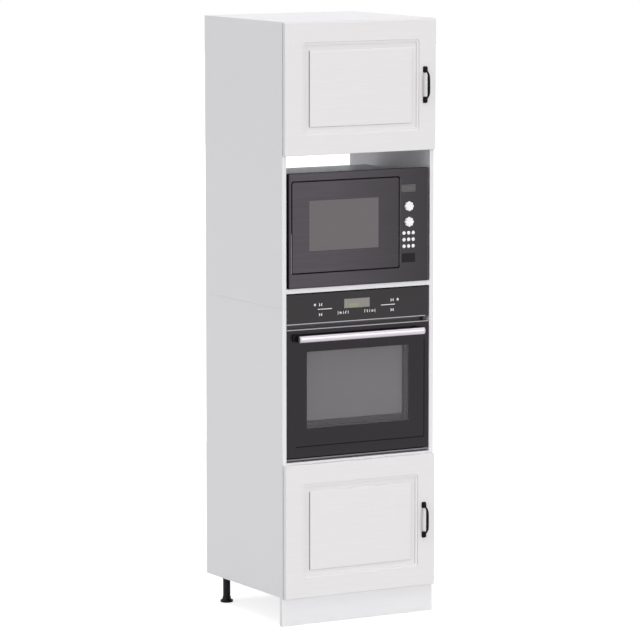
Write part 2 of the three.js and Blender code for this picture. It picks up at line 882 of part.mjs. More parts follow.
// The steel case behind the frame, on four low feet, with cooling slots in its back.
function microwaveCase() {
  const front = frameBack + touchGap + sheetThickness + touchGap;
  const half = frameHalf - caseInsetX;
  const bottom = middleShelfTop + caseFootHeight;
  const outer = {
    x: [-half, half],
    y: [front, front + caseDepth],
    z: [bottom, frameTop - caseTopDrop],
  };
  const feet = [];
  for (const x of [-half + caseFootInset, half - caseFootInset]) {
    for (const y of [front + caseFootInset, front + caseDepth - caseFootInset]) {
      const box = {
        x: [x - caseFootWidth / 2, x + caseFootWidth / 2],
        y: [y - caseFootWidth / 2, y + caseFootWidth / 2],
        z: [middleShelfTop + touchGap, bottom + sheetThickness / 2],
      };
      feet.push(plate(box, 'z', { corner: caseFootWidth / 5, arcs: 1 }));
    }
  }
  const slots = [];
  for (let n = 0; n < caseSlotCount; n += 1) {
    const x = half - caseSlotInset - n * caseSlotPitch;
    const box = {
      x: [x - slotWidth, x],
      y: [outer.y[1] - 4, outer.y[1] + 2],
      z: [bottom + caseSlotLift, bottom + caseSlotLift + caseSlotHeight],
    };
    slots.push(plate(box, 'y', { corner: slotWidth * 0.48, arcs: 1 }));
  }
  return cut(fuse(hollowBox(outer, sheetThickness), ...feet), ...slots);
}

// The steel liner that holds the food, welded to a front plate behind the frame.
function microwaveCavity() {
  const front = frameBack + touchGap;
  const frontPlate = plate(
    {
      x: [-frameHalf + microwaveBevel, frameHalf - microwaveBevel],
      y: [front, front + sheetThickness],
      z: [frameBottom + microwaveBevel, frameTop - microwaveBevel],
    },
    'y',
  );
  const liner = plate(
    {
      x: [microwaveCavityBox.x[0] - sheetThickness, microwaveCavityBox.x[1] + sheetThickness],
      y: [front + 0.2, microwaveCavityBox.y[1]],
      z: [microwaveCavityBox.z[0] - sheetThickness, microwaveCavityBox.z[1] + sheetThickness],
    },
    'y',
  );
  const room = plate(
    {
      x: microwaveCavityBox.x,
      y: [front - 1, microwaveCavityBox.y[1] - sheetThickness],
      z: microwaveCavityBox.z,
    },
    'y',
    { corner: 8 },
  );
  return cut(fuse(frontPlate, liner), room);
}

const turntableX = (microwaveCavityBox.x[0] + microwaveCavityBox.x[1]) / 2;
const turntableY = (frameBack + microwaveCavityBox.y[1]) / 2;
const cavityFloor = microwaveCavityBox.z[0];
const turntableBottom = cavityFloor + 2 * rollerRadius + 2 * touchGap;

// The glass plate, with a raised rim, and the hub that the drive turns.
function turntable() {
  const base = turntableBottom;
  const profile = [
    [0, cavityFloor + touchGap],
    [driveHubRadius - 3, cavityFloor + touchGap],
    [driveHubRadius, base],
    [turntableRadius - 14, base],
    [turntableRadius, base + 6],
    [turntableRadius, base + 8],
    [turntableRadius - 3, base + 8],
    [turntableRadius - 16, base + turntableThickness],
    [0, base + turntableThickness],
  ];
  return turned(profile, turntableX, turntableY, 28);
}

// A ring with three rollers that run between the cavity's floor and the plate.
function rollerRing() {
  const axle = cavityFloor + rollerRadius + touchGap;
  const inner = rollerRingRadius - ringBarWidth / 2;
  const outer = rollerRingRadius + ringBarWidth / 2;
  const low = axle - ringBarHeight / 2;
  const high = axle + ringBarHeight / 2;
  const profile = [[inner, low], [outer, low], [outer, high], [inner, high], [inner, low]];
  const ring = turned(profile, 0, 0, 28);
  const rollers = [0, 1, 2].map((n) => {
    const middle = rollerRingRadius + ringBarWidth / 2 + rollerWidth / 2 - 1;
    const low = middle - rollerWidth / 2;
    const roller = rodAlongX(rollerRadius, low, low + rollerWidth, 0, axle, 12);
    return roller.rotateZ((n * Math.PI * 2) / 3);
  });
  return fuse(ring, ...rollers).translate(turntableX, turntableY, 0);
}

function addMicrowave() {
  addPiece('microwave_frame', microwaveFrame(), greyFrame);
  addPiece('microwave_case', microwaveCase(), galvanised);
  addPiece('microwave_cavity', microwaveCavity(), galvanised);
  addPiece('microwave_door', microwaveDoor(), greyFrame);
  addPiece('microwave_door_window', plate(microwaveWindowBox, 'y'), smokedGlass);
  const lcd = lcdBox(frameFront + lcdSink, controlBack + touchGap);
  addPiece('microwave_display', plate(lcd, 'y'), displayGlass);
  knobHeights().forEach((z, n) => {
    addPiece(`microwave_knob_${n === 0 ? 'upper' : 'lower'}`, microwaveKnob(z), whitePlastic);
  });
  keyPlaces().forEach(([x, z], n) => {
    addPiece(`microwave_key_${n + 1}`, microwaveKey(x, z), whitePlastic);
  });
  addPiece('microwave_open_key', microwaveOpenKey(), blackPlastic);
  addPiece('microwave_turntable', turntable(), clearGlass);
  addPiece('microwave_roller_ring', rollerRing(), whitePlastic);
}

// ---------------------------------------------------------------- oven
const ovenHalf = nicheHalf - ovenSideGap;
const ovenFront = carcassFront + ovenSetback;
const fasciaTop = middleShelfBottom - ovenTopGap;
const fasciaBottom = fasciaTop - ovenFasciaHeight;
const ovenDoorTop = fasciaBottom - ovenDoorTopGap;
const ovenDoorBottom = ovenShelfTop + ovenDoorBottomGap;
const ovenDoorBack = ovenFront + ovenDoorThickness;
const ovenWall = ovenDoorBack + ovenSealRoom;
const ovenWindow = {
  x: [-ovenHalf + ovenWindowMarginX, ovenHalf - ovenWindowMarginX],
  z: [ovenDoorBottom + ovenWindowMarginBottom, ovenDoorTop - ovenWindowMarginTop],
};
const ovenCavityBox = {
  x: [-ovenHalf + ovenCavityMarginX, ovenHalf - ovenCavityMarginX],
  y: [ovenWall, carcassBack - ovenBackRoom - ovenCavityBackRoom],
  z: [ovenDoorBottom + ovenCavityMarginBottom, ovenDoorTop - ovenCavityMarginTop],
};

function ovenFascia() {
  const back = ovenWall + sheetThickness;
  const shell = plate(
    { x: [-ovenHalf, ovenHalf], y: [ovenFront, back], z: [fasciaBottom, fasciaTop] },
    'y',
    { edge: 0.8 },
  );
  const hollow = plate(
    {
      x: [-ovenHalf + ovenFasciaWall, ovenHalf - ovenFasciaWall],
      y: [ovenFront + ovenGlassThickness, back + 1],
      z: [fasciaBottom + ovenFasciaWall, fasciaTop - ovenFasciaWall],
    },
    'y',
  );
  const display = plate(grown(ovenDisplayBox(ovenFront - 1), touchGap, 4, touchGap), 'y');
  return cut(shell, hollow, display);
}

function ovenDisplayBox(front) {
  const z = fasciaTop - ovenDisplayDrop;
  const back = ovenFront + ovenGlassThickness + touchGap;
  return centredBox(ovenDisplayOffset, z, ovenDisplayWidth, ovenDisplayHeight, front, back);
}

// The casing round the cavity: five sheet walls, open at the front, resting on the shelf.
function ovenCasing() {
  const front = ovenWall + sheetThickness + touchGap;
  const outer = {
    x: [-ovenHalf + 3, ovenHalf - 3],
    y: [front, carcassBack - ovenBackRoom],
    z: [ovenShelfTop + touchGap, fasciaTop - ovenTopGap],
  };
  const slots = [];
  for (let n = 0; n < ventSlotCount; n += 1) {
    const z = outer.z[1] - ventSlotDrop - n * ventSlotPitch;
    const box = {
      x: [-ventSlotLength / 2, ventSlotLength / 2],
      y: [outer.y[1] - 4, outer.y[1] + 2],
      z: [z - slotWidth, z],
    };
    slots.push(plate(box, 'y', { corner: slotWidth * 0.48, arcs: 1 }));
  }
  return cut(hollowBox(outer, sheetThickness), ...slots);
}

function ledgeHeights() {
  const first = ovenCavityBox.z[0] + rackHeight - ledgeHeight - touchGap;
  return [first - ledgeSpacing, first, first + ledgeSpacing];
}

// The enamelled liner and its front plate, with a rim round its mouth that the door closes
// on, and three pairs of ledges for the rack.
function ovenCavity() {
  const frontPlate = plate(
    {
      x: [-ovenHalf + 3, ovenHalf - 3],
      y: [ovenWall, ovenWall + sheetThickness],
      z: [ovenShelfTop + touchGap, fasciaBottom - touchGap],
    },
    'y',
  );
  const liner = plate(
    {
      x: [ovenCavityBox.x[0] - sheetThickness, ovenCavityBox.x[1] + sheetThickness],
      y: [ovenWall + 0.2, ovenCavityBox.y[1]],
      z: [ovenCavityBox.z[0] - sheetThickness, ovenCavityBox.z[1] + sheetThickness],
    },
    'y',
  );
  const room = plate(
    {
      x: ovenCavityBox.x,
      y: [ovenDoorBack, ovenCavityBox.y[1] - sheetThickness],
      z: ovenCavityBox.z,
    },
    'y',
    { corner: 14 },
  );
  const rim = plate(
    {
      ...grown(ovenCavityBox, sealRimWidth, 0, sealRimWidth),
      y: [ovenDoorBack + sealGap, ovenWall + 0.1],
    },
    'y',
    { corner: 18, arcs: 2 },
  );
  const ledges = [];
  for (const z of ledgeHeights()) {
    for (const side of [-1, 1]) {
      const wall = side * ovenCavityBox.x[1];
      const edges = [wall + side * 0.5, wall - side * ledgeDepth].sort((a, b) => a - b);
      const box = { x: edges, y: [ovenWall + 18, ovenCavityBox.y[1] - 4], z: [z, z + ledgeHeight] };
      ledges.push(plate(box, 'x', { corner: 2, arcs: 1 }));
    }
  }
  return fuse(cut(fuse(frontPlate, liner, rim), room), ...ledges);
}

// The wire rack: a round frame wire and thinner bars across it, on the middle ledges.
function ovenRack() {
  const z = ovenCavityBox.z[0] + rackHeight + rackRail / 2;
  const half = ovenCavityBox.x[1] - 3 - rackRail / 2;
  const front = ovenWall + rackFrontRoom + rackRail / 2;
  const back = ovenCavityBox.y[1] - rackBackRoom;
  const wires = [
    rodAlongX(rackRail / 2, -half, half, front, z, 8),
    rodAlongX(rackRail / 2, -half, half, back, z, 8),
  ];
  for (const x of [-half, half]) {
    wires.push(rodAlongY(rackRail / 2, front - rackRail / 2, back + rackRail / 2, x, z, 8));
  }
  for (let n = 1; n < rackWireCount; n += 1) {
    const x = -half + (2 * half * n) / rackWireCount;
    wires.push(rodAlongY(rackWire / 2, front, back, x, z, 6));
  }
  return fuse(...wires);
}

function ovenDoorGlass() {
  return plate(
    {
      x: [-ovenHalf, ovenHalf],
      y: [ovenFront, ovenFront + ovenGlassThickness],
      z: [ovenDoorBottom, ovenDoorTop],
    },
    'y',
    { corner: ovenGlassCorner, edge: 0.6 },
  );
}

const innerGlassBox = {
  x: [ovenWindow.x[0] - ovenInnerGlassOverlap, ovenWindow.x[1] + ovenInnerGlassOverlap],
  y: [ovenDoorBack - ovenGlassThickness, ovenDoorBack],
  z: [ovenWindow.z[0] - ovenInnerGlassOverlap, ovenWindow.z[1] + ovenInnerGlassOverlap],
};

// A ring-shaped pocket: what lies inside the outer box but outside the inner one.
function pocket(outer, inner, front, back) {
  const whole = plate({ x: outer.x, y: [front, back], z: outer.z }, 'y');
  const core = plate({ x: inner.x, y: [front - 1, back + 1], z: inner.z }, 'y');
  return cut(whole, core);
}

// The door's pressed tray behind the glass, open at the window, with a rebate for the
// inner pane. Its sheet is folded forward at its rim and round the window.
function ovenDoorFrame() {
  const front = ovenFront + ovenGlassThickness + touchGap;
  const wall = ovenDoorSheet;
  const outline = {
    x: [-ovenHalf + 3, ovenHalf - 3],
    y: [front, ovenDoorBack],
    z: [ovenDoorBottom + 2, ovenDoorTop - 2],
  };
  const body = plate(outline, 'y', { edge: 1 });
  const inside = grown(outline, -wall, 0, -wall);
  const shallow = pocket(
    inside,
    grown({ ...ovenWindow, y: [0, 0] }, wall, 0, wall),
    front - 1,
    innerGlassBox.y[0] - touchGap - wall,
  );
  const deep = pocket(
    inside,
    grown(innerGlassBox, wall + touchGap, 0, wall + touchGap),
    front - 1,
    ovenDoorBack - wall,
  );
  const window = plate(
    { x: ovenWindow.x, y: [ovenFront, ovenDoorBack + 1], z: ovenWindow.z },
    'y',
  );
  const rebate = plate(
    {
      x: [innerGlassBox.x[0] - touchGap, innerGlassBox.x[1] + touchGap],
      y: [innerGlassBox.y[0] - touchGap, ovenDoorBack + 1],
      z: [innerGlassBox.z[0] - touchGap, innerGlassBox.z[1] + touchGap],
    },
    'y',
  );
  return cut(body, window, rebate, shallow, deep);
}

const handleZ = ovenDoorTop - handleDrop;
const handleY = ovenFront - handleStandoff;
const handleHalf = ovenHalf - handleEndInset;

// An oval rod along the handle's axis, with its section grown all round.
function handleRod(low, high, growth) {
  const section = new THREE.Shape();
  const depth = handleBarDepth / 2 + growth;
  const height = handleBarHeight / 2 + growth;
  section.absellipse(0, 0, depth, height, 0, Math.PI * 2, false, 0);
  const rod = new THREE.ExtrudeGeometry(section, {
    depth: high - low,
    bevelEnabled: false,
    curveSegments: 12,
  });
  rod.translate(0, 0, low);
  rod.applyMatrix4(new THREE.Matrix4().makeBasis(Y, Z, X));
  return rod.translate(0, handleY, handleZ);
}

function ovenHandleBar() {
  const bore = handleRod(-handleHalf - 1, handleHalf + 1, -handleBarWall);
  return cut(handleRod(-handleHalf, handleHalf, 0), bore);
}

// The bracket at each end of the bar: a cap that closes the tube, an arm that holds the
// bar from behind, and a wider foot on the door.
function ovenHandlePost(side) {
  const across = (low, high) => (side < 0 ? [-high, -low] : [low, high]);
  const barEnd = handleHalf + touchGap;
  const capEnd = barEnd + handleCapThickness;
  const armSide = capEnd - handlePostWidth;
  const half = handlePostHeight / 2;
  const z = [handleZ - half, handleZ + half];
  const seat = ovenFront - touchGap;
  const arm = plate(
    { x: across(armSide, capEnd), y: [handleY, seat], z },
    'y',
    { corner: handlePostCorner },
  );
  const foot = plate(
    {
      x: across(armSide - handleFootMargin, capEnd + handleFootReach),
      y: [seat - handleFootThickness, seat],
      z,
    },
    'y',
    { corner: handleFootCorner, edge: handleFootEdge },
  );
  const bed = handleRod(-barEnd, barEnd, touchGap);
  return fuse(cut(fuse(arm, foot), bed), handleRod(...across(barEnd, capEnd), 0));
}

// The bright angle under the door: its lip shows as a line above the shelf.
function ovenBottomTrim() {
  const low = ovenShelfTop + ovenTrimLift;
  const lip = plate(
    {
      x: [-ovenHalf, ovenHalf],
      y: [ovenFront, ovenFront + ovenTrimLip],
      z: [low, low + ovenTrimHeight],
    },
    'y',
    { edge: 0.6 },
  );
  const web = plate(
    {
      x: [-ovenHalf + 1, ovenHalf - 1],
      y: [ovenFront + 1, ovenWall - touchGap],
      z: [low + 0.7, low + 2.2],
    },
    'z',
  );
  return fuse(lip, web);
}

function addOven() {
  addPiece('oven_casing', ovenCasing(), galvanised);
  addPiece('oven_cavity', ovenCavity(), greyEnamel);
  addPiece('oven_rack', ovenRack(), nickel);
  addPiece('oven_control_panel', ovenFascia(), darkGlass);
  const display = ovenDisplayBox(ovenFront + ovenDisplaySink);
  addPiece('oven_display', plate(display, 'y'), displayGlass);
  addPiece('oven_door_glass', ovenDoorGlass(), darkGlass);
  addPiece('oven_door_frame', ovenDoorFrame(), greyEnamel);
  addPiece('oven_door_inner_glass', plate(innerGlassBox, 'y'), clearGlass);
  addPiece('oven_handle_bar', ovenHandleBar(), satinSteel);
  addPiece('oven_handle_post_left', ovenHandlePost(-1), blackPlastic);
  addPiece('oven_handle_post_right', ovenHandlePost(1), blackPlastic);
  addPiece('oven_bottom_trim', ovenBottomTrim(), satinSteel);
}

addCarcass();
addPlinth();
addFeet();
addPanelDoor('upper', upperDoorBottom, upperDoorTop);
addPanelDoor('lower', lowerDoorBottom, lowerDoorTop);
addMicrowave();
addOven();

// The pulls reach furthest forward, unless the oven's handle does.
const frontReach = Math.max(pullProjection + pullBarRadius, handleBarDepth / 2 - handleY);
unit.position.y = (frontReach - cabinetDepth) / 2;

export default unit;
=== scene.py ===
"""Looks of the tall oven housing unit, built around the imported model.
Metres, in the model's own frame: +X right, +Y back, +Z up, z = 0 the floor."""
import math

import bmesh
import bpy
from mathutils import Matrix, Vector


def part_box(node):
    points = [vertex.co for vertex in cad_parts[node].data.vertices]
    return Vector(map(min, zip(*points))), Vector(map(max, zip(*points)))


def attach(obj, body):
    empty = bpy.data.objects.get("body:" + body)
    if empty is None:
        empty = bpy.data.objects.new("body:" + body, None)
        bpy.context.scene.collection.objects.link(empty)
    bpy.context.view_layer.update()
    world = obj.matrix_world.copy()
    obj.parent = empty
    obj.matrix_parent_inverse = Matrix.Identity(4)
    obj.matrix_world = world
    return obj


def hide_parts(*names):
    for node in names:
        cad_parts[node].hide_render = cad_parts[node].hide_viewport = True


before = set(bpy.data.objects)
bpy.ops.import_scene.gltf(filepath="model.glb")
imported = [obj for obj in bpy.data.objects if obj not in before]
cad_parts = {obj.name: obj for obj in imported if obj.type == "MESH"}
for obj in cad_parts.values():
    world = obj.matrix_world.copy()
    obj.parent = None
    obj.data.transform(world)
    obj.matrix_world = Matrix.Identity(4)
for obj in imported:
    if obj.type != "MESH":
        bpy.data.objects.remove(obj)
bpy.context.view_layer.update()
MM = 0.001


# ------------------------------------------------------------------ colours and shader helpers
def linked(name, data):
    """A new object in the scene."""
    obj = bpy.data.objects.new(name, data)
    bpy.context.scene.collection.objects.link(obj)
    return obj


def millimetres(*pairs):
    """Pairs of numbers in millimetres, for profiles."""
    return [(a * MM, b * MM) for a, b in pairs]


def srgb(red, green, blue):
    """Linear colour of an 8-bit screen colour."""
    def linear(c):
        c /= 255
        return c / 12.92 if c <= 0.04045 else ((c + 0.055) / 1.055) ** 2.4
    return (linear(red), linear(green), linear(blue), 1.0)


class Shader:
    """A Principled material with procedural detail read from object coordinates."""

    def __init__(self, name, color, roughness, metallic=0.0, ior=1.5, coat=0.0):
        self.material = bpy.data.materials.new(name)
        self.material.use_nodes = True
        self.tree = self.material.node_tree
        self.principled = self.tree.nodes["Principled BSDF"]
        self.set("Base Color", color)
        self.set("Roughness", roughness)
        self.set("Metallic", metallic)
        self.set("IOR", ior)
        self.set("Coat Weight", coat)
        self.color = color
        self.roughness = roughness
        self.height = None
        self.tone = None

    def set(self, socket, value):
        self.principled.inputs[socket].default_value = value

    def node(self, kind, **settings):
        made = self.tree.nodes.new(kind)
        for key, value in settings.items():
            setattr(made, key, value)
        return made

    def link(self, source, target):
        self.tree.links.new(source, target)

    def coordinates(self, stretch=(1, 1, 1), turn=0.0):
        source = self.node("ShaderNodeTexCoord")
        mapping = self.node("ShaderNodeMapping")
        mapping.inputs["Scale"].default_value = stretch
        mapping.inputs["Rotation"].default_value = (0, turn, 0)
        self.link(source.outputs["Object"], mapping.inputs["Vector"])
        return mapping.outputs["Vector"]

    def noise(self, scale, detail=3.0, stretch=(1, 1, 1)):
        made = self.node("ShaderNodeTexNoise")
        made.inputs["Scale"].default_value = scale
        made.inputs["Detail"].default_value = detail
        self.link(self.coordinates(stretch), made.inputs["Vector"])
        return made.outputs["Fac"]

    def dots(self, pitch, low, high, turn=0.0, randomness=0.0, stretch=(1, 1, 1)):
        """1 between dots and 0 in them: dots of a regular or random grid with the given pitch."""
        made = self.node("ShaderNodeTexVoronoi", distance="EUCLIDEAN")
        made.inputs["Scale"].default_value = 1 / pitch
        made.inputs["Randomness"].default_value = randomness
        self.link(self.coordinates(stretch, turn), made.inputs["Vector"])
        return self.span(made.outputs["Distance"], low, high, 0, 1)

    def span(self, value, low, high, to_low, to_high):
        made = self.node("ShaderNodeMapRange")
        for key, number in (("From Min", low), ("From Max", high), ("To Min", to_low), ("To Max", to_high)):
            made.inputs[key].default_value = number
        self.link(value, made.inputs["Value"])
        return made.outputs["Result"]

    def mix(self, factor, first, second):
        made = self.node("ShaderNodeMix", data_type="RGBA")
        self.link(factor, made.inputs["Factor"])
        for socket, value in ((made.inputs["A"], first), (made.inputs["B"], second)):
            if isinstance(value, bpy.types.NodeSocket):
                self.link(value, socket)
            else:
                socket.default_value = value
        return made.outputs["Result"]

    def vary_color(self, value, amount, low=0.3, high=0.7):
        """Lightens and darkens the colour by the amount, following the value."""
        dark = tuple(c * (1 - amount) for c in self.color[:3]) + (1.0,)
        light = tuple(min(1.0, c * (1 + amount)) for c in self.color[:3]) + (1.0,)
        factor = self.span(value, low, high, 0, 1)
        self.tone = self.mix(factor, dark, light)
        self.link(self.tone, self.principled.inputs["Base Color"])
        return self

    def paint(self, factor, color):
        """Another colour where the factor is 1."""
        under = self.tone if self.tone is not None else self.color
        self.tone = self.mix(factor, under, color)
        self.link(self.tone, self.principled.inputs["Base Color"])
        return self

    def vary_roughness(self, value, amount, low=0.3, high=0.7):
        result = self.span(value, low, high, self.roughness - amount, self.roughness + amount)
        self.link(result, self.principled.inputs["Roughness"])
        return self

    def bump(self, value, distance, strength=1.0):
        made = self.node("ShaderNodeBump")
        made.inputs["Distance"].default_value = distance
        made.inputs["Strength"].default_value = strength
        self.link(value, made.inputs["Height"])
        if self.height is not None:
            self.link(self.height, made.inputs["Normal"])
        self.height = made.outputs["Normal"]
        self.link(self.height, self.principled.inputs["Normal"])
        return self

    def detail(self, tone, rough, *reliefs):
        """Noise in the tone and the roughness, each given as (scale, detail, amount), and in
        reliefs of (scale, detail, depth in mm, strength)."""
        if tone:
            self.vary_color(self.noise(*tone[:2]), tone[2])
        if rough:
            self.vary_roughness(self.noise(*rough[:2]), rough[2])
        for scale, detail, depth, strength in reliefs:
            self.bump(self.noise(scale, detail), depth * MM, strength)
        return self.material


def melamine(name, color):
    """White-faced board: a fine pearl texture and a barely uneven tone."""
    return Shader(name, color, 0.42).detail((2.2, 2, 0.006), (38, 4, 0.05), (900, 3, 0.03, 0.5))


def routed_foil(name, color):
    """White foil drawn over a routed door, with a faint level grain."""
    shader = Shader(name, color, 0.40)
    grain = shader.noise(1, 5, stretch=(7, 40, 210))
    shader.vary_color(grain, 0.012)
    shader.vary_roughness(grain, 0.05)
    shader.bump(grain, 0.06 * MM, 0.5)
    shader.bump(shader.noise(1100, 2), 0.02 * MM, 0.4)
    return shader.material


def moulded(name, color, roughness=0.45, grain=0.03, shine=0.5):
    """Moulded plastic with a fine spark-eroded grain."""
    shader = Shader(name, color, roughness)
    shader.set("Specular IOR Level", shine)
    return shader.detail((60, 3, 0.05), (420, 3, 0.08), (2600, 2, grain, 0.6))


def forged(name, color):
    """Black finish on cast metal: slightly dimpled, softer shine on the high spots."""
    shader = Shader(name, color, 0.38)
    shader.set("Specular IOR Level", 0.10)
    return shader.detail((240, 4, 0.25), (150, 3, 0.10), (380, 3, 0.12, 0.7))


def brushed(name, color, roughness, stretch, metallic=1.0, tone=0.05, shade_color=None, shine=0.5):
    """Brushed metal: streaks along the axis whose stretch is small. With a shade colour, the tone darkens
    to it from the left side to the right as painted shade."""
    shader = Shader(name, color, roughness, metallic=metallic)
    shader.set("Specular IOR Level", shine)
    streaks = shader.noise(1, 6, stretch=stretch)
    shader.vary_color(streaks, tone)
    if shade_color:
        across = shader.node("ShaderNodeSeparateXYZ")
        shader.link(shader.coordinates(), across.inputs["Vector"])
        from_x, to_x = -0.10, 0.28
        # painted shade: the tone grows darker towards the right side
        drift = shader.span(across.outputs["X"], from_x, to_x, 0, 1)
        shader.paint(drift, shade_color)
    shader.vary_roughness(streaks, 0.07)
    shader.bump(streaks, 0.03 * MM, 0.6)
    return shader.material


def zinc_sheet(name, color):
    """Zinc-coated steel sheet with its faint spangle."""
    shader = Shader(name, color, 0.42, metallic=0.9)
    cells = shader.node("ShaderNodeTexVoronoi")
    cells.inputs["Scale"].default_value = 85
    shader.link(shader.coordinates(), cells.inputs["Vector"])
    spangle = shader.span(cells.outputs["Color"], 0, 1, 0, 1)
    shader.vary_color(spangle, 0.06, 0.1, 0.9)
    shader.vary_roughness(spangle, 0.06, 0.1, 0.9)
    return shader.detail(None, None, (160, 3, 0.03, 0.4))


def enamel(name, color, speckle):
    """Vitreous enamel: a glossy coat with fine pale specks."""
    shader = Shader(name, color, 0.28, coat=0.4)
    specks = shader.dots(2.2 * MM, 0.10, 0.16, randomness=1.0)
    shader.link(shader.mix(specks, speckle, color), shader.principled.inputs["Base Color"])
    return shader.detail(None, None, (210, 2, 0.05, 0.4))


def printed_glass(name, color, roughness=0.06, ior=1.45, shine=0.5):
    """Glass with an opaque print on its back: gloss, slight unevenness, faint smears."""
    shader = Shader(name, color, roughness, ior=ior)
    shader.set("Specular IOR Level", shine)
    return shader.detail((5, 3, 0.05), (9, 4, 0.025), (6, 2, 0.10, 0.15))


def screened_glass(name, color, ground, pitch, alpha=1.0, roughness=0.09, turn=math.radians(45)):
    """A window with a fine dot screen on its back."""
    shader = Shader(name, color, roughness, ior=1.52)
    shader.vary_color(shader.noise(7, 3), 0.03)
    shader.paint(shader.dots(pitch, 0.24, 0.34, turn=turn), ground)
    shader.vary_roughness(shader.noise(11, 4), 0.03)
    shader.set("Alpha", alpha)
    return shader.material


def tinted_glass(name, color, alpha, roughness=0.05):
    """Glass that darkens what lies behind it."""
    shader = Shader(name, color, roughness, ior=1.52)
    shader.set("Alpha", alpha)
    return shader.detail((6, 3, 0.04), (10, 4, 0.02))


def clear_glass(name):
    shader = Shader(name, srgb(232, 240, 238), 0.05, ior=1.5)
    shader.set("Transmission Weight", 0.9)
    return shader.detail(None, (30, 3, 0.02), (14, 2, 0.10, 0.2))


def matt_shade_black(name, color):
    """Matt black for seals, here used as painted shade in gaps and recesses."""
    shader = Shader(name, color, 0.75)
    shader.set("Specular IOR Level", 0.12)
    return shader.detail((90, 3, 0.12), None, (1500, 2, 0.04, 0.6))


def rim_with_painted_highlight(name, dark, bright, level):
    """Black rim whose lower part, below the level, carries a painted highlight in a lighter colour."""
    shader = Shader(name, dark, 0.6)
    shader.set("Specular IOR Level", 0.12)
    shader.vary_color(shader.noise(90, 3), 0.10)
    height = shader.node("ShaderNodeSeparateXYZ")
    shader.link(shader.coordinates(), height.inputs["Vector"])
    # painted highlight: a lighter colour below the level, standing in for light caught on the edge
    shader.paint(shader.span(height.outputs["Z"], level + 6 * MM, level - 6 * MM, 0, 1), bright)
    return shader.material


def print_ink(name, color):
    """Screen print on glass, a little uneven in its edge and tone."""
    return Shader(name, color, 0.5).detail((500, 3, 0.08), None, (1800, 2, 0.01, 0.5))


WHITE_BOARD = melamine("white_board", srgb(234, 233, 236))
WHITE_FOIL = routed_foil("white_foil", srgb(233, 231, 232))
PLINTH_FOIL = routed_foil("plinth_foil", srgb(238, 237, 239))
HARDBOARD = melamine("hardboard", srgb(206, 204, 202))
BLACK_PLASTIC = moulded("black_plastic", srgb(15, 14, 15), shine=0.18)
BLACK_IRON = forged("black_iron", srgb(8, 8, 9))
# a darker copy of the door foil: painted shade on the grooves' steep walls
GROOVE_PAINTED_SHADE = routed_foil("groove_painted_shade", srgb(166, 163, 165))
NICKEL = brushed("nickel", srgb(196, 196, 200), 0.28, (300, 300, 40), tone=0.04)
ZINC = zinc_sheet("zinc_sheet", srgb(170, 172, 176))
# the microwave's surround and door, with painted shade darkening them towards the right
FRAME_GREY = brushed("frame_grey", srgb(63, 58, 65), 0.36, (9, 60, 520), metallic=0.10, tone=0.12,
                     shade_color=srgb(27, 20, 26), shine=0.40)
DARK_PLASTIC = moulded("dark_plastic", srgb(24, 20, 24), shine=0.14)
WHITE_PLASTIC = moulded("white_plastic", srgb(250, 250, 250), 0.35)
ENAMEL = enamel("grey_enamel", srgb(58, 58, 62), srgb(150, 150, 156))
BLACK_GLASS = printed_glass("black_glass", srgb(28, 22, 26), shine=0.47)
DOOR_GLASS = printed_glass("door_glass", srgb(21, 14, 20), ior=1.42, shine=0.42)
CLEAR_GLASS = clear_glass("clear_glass")
WINDOW_SCREEN = screened_glass("microwave_screen", srgb(121, 115, 118), srgb(98, 92, 95), 1.6 * MM)
OVEN_WINDOW = tinted_glass("oven_window_glass", srgb(103, 99, 103), 0.32)
# light grey screened field behind the tinted window; its lightness is a painted reflection
INNER_FIELD_REFLECTION = screened_glass("inner_field", srgb(200, 196, 200), srgb(186, 182, 186), 2.4 * MM)
DISPLAY = screened_glass("display_glass", srgb(151, 148, 142), srgb(137, 134, 128), 2.6 * MM, turn=0)
SEGMENTS = screened_glass("display_segments", srgb(166, 164, 138), srgb(150, 148, 122), 1.3 * MM, turn=0)
DIM_DISPLAY = screened_glass("dim_display_glass", srgb(116, 116, 113), srgb(66, 64, 65), 4.6 * MM, turn=0)
TRIM_STEEL = brushed("trim_steel", srgb(150, 145, 150), 0.34, (10, 700, 700), tone=0.03)
SATIN_STEEL = brushed("satin_steel", srgb(188, 183, 189), 0.38, (10, 700, 700), tone=0.03)
DIM_STEEL = brushed("dim_steel", srgb(112, 108, 112), 0.40, (10, 700, 700), metallic=0.8, tone=0.04)
WHITE_INK = print_ink("white_ink", srgb(238, 236, 238))
# matt black painted as shade in and beside the microwave door's gap
GAP_SHADE_BLACK = matt_shade_black("gap_painted_shade", srgb(8, 8, 9))
# a thin lighter band: painted highlight on the edge of the surround's opening
EDGE_HIGHLIGHT_GREY = moulded("edge_painted_highlight", srgb(126, 123, 127))
HIGHLIGHT_LEVEL = 1.352  # below this height the left rim carries a painted highlight, lighter than the rim above
LEFT_RIM_HIGHLIGHT = rim_with_painted_highlight("left_rim", srgb(8, 8, 9), srgb(176, 172, 177), HIGHLIGHT_LEVEL)
# matt black painted as shade lines on the oven door glass
DOOR_SHADE_LINE = matt_shade_black("painted_shade_line", srgb(10, 8, 10))


# ------------------------------------------------------------------ mesh helpers
AXES = {  # outline's width, outline's height and thickness direction
    "x": (Vector((0, 1, 0)), Vector((0, 0, 1)), Vector((1, 0, 0))),
    "y": (Vector((1, 0, 0)), Vector((0, 0, 1)), Vector((0, -1, 0))),
    "z": (Vector((1, 0, 0)), Vector((0, 1, 0)), Vector((0, 0, 1))),
}


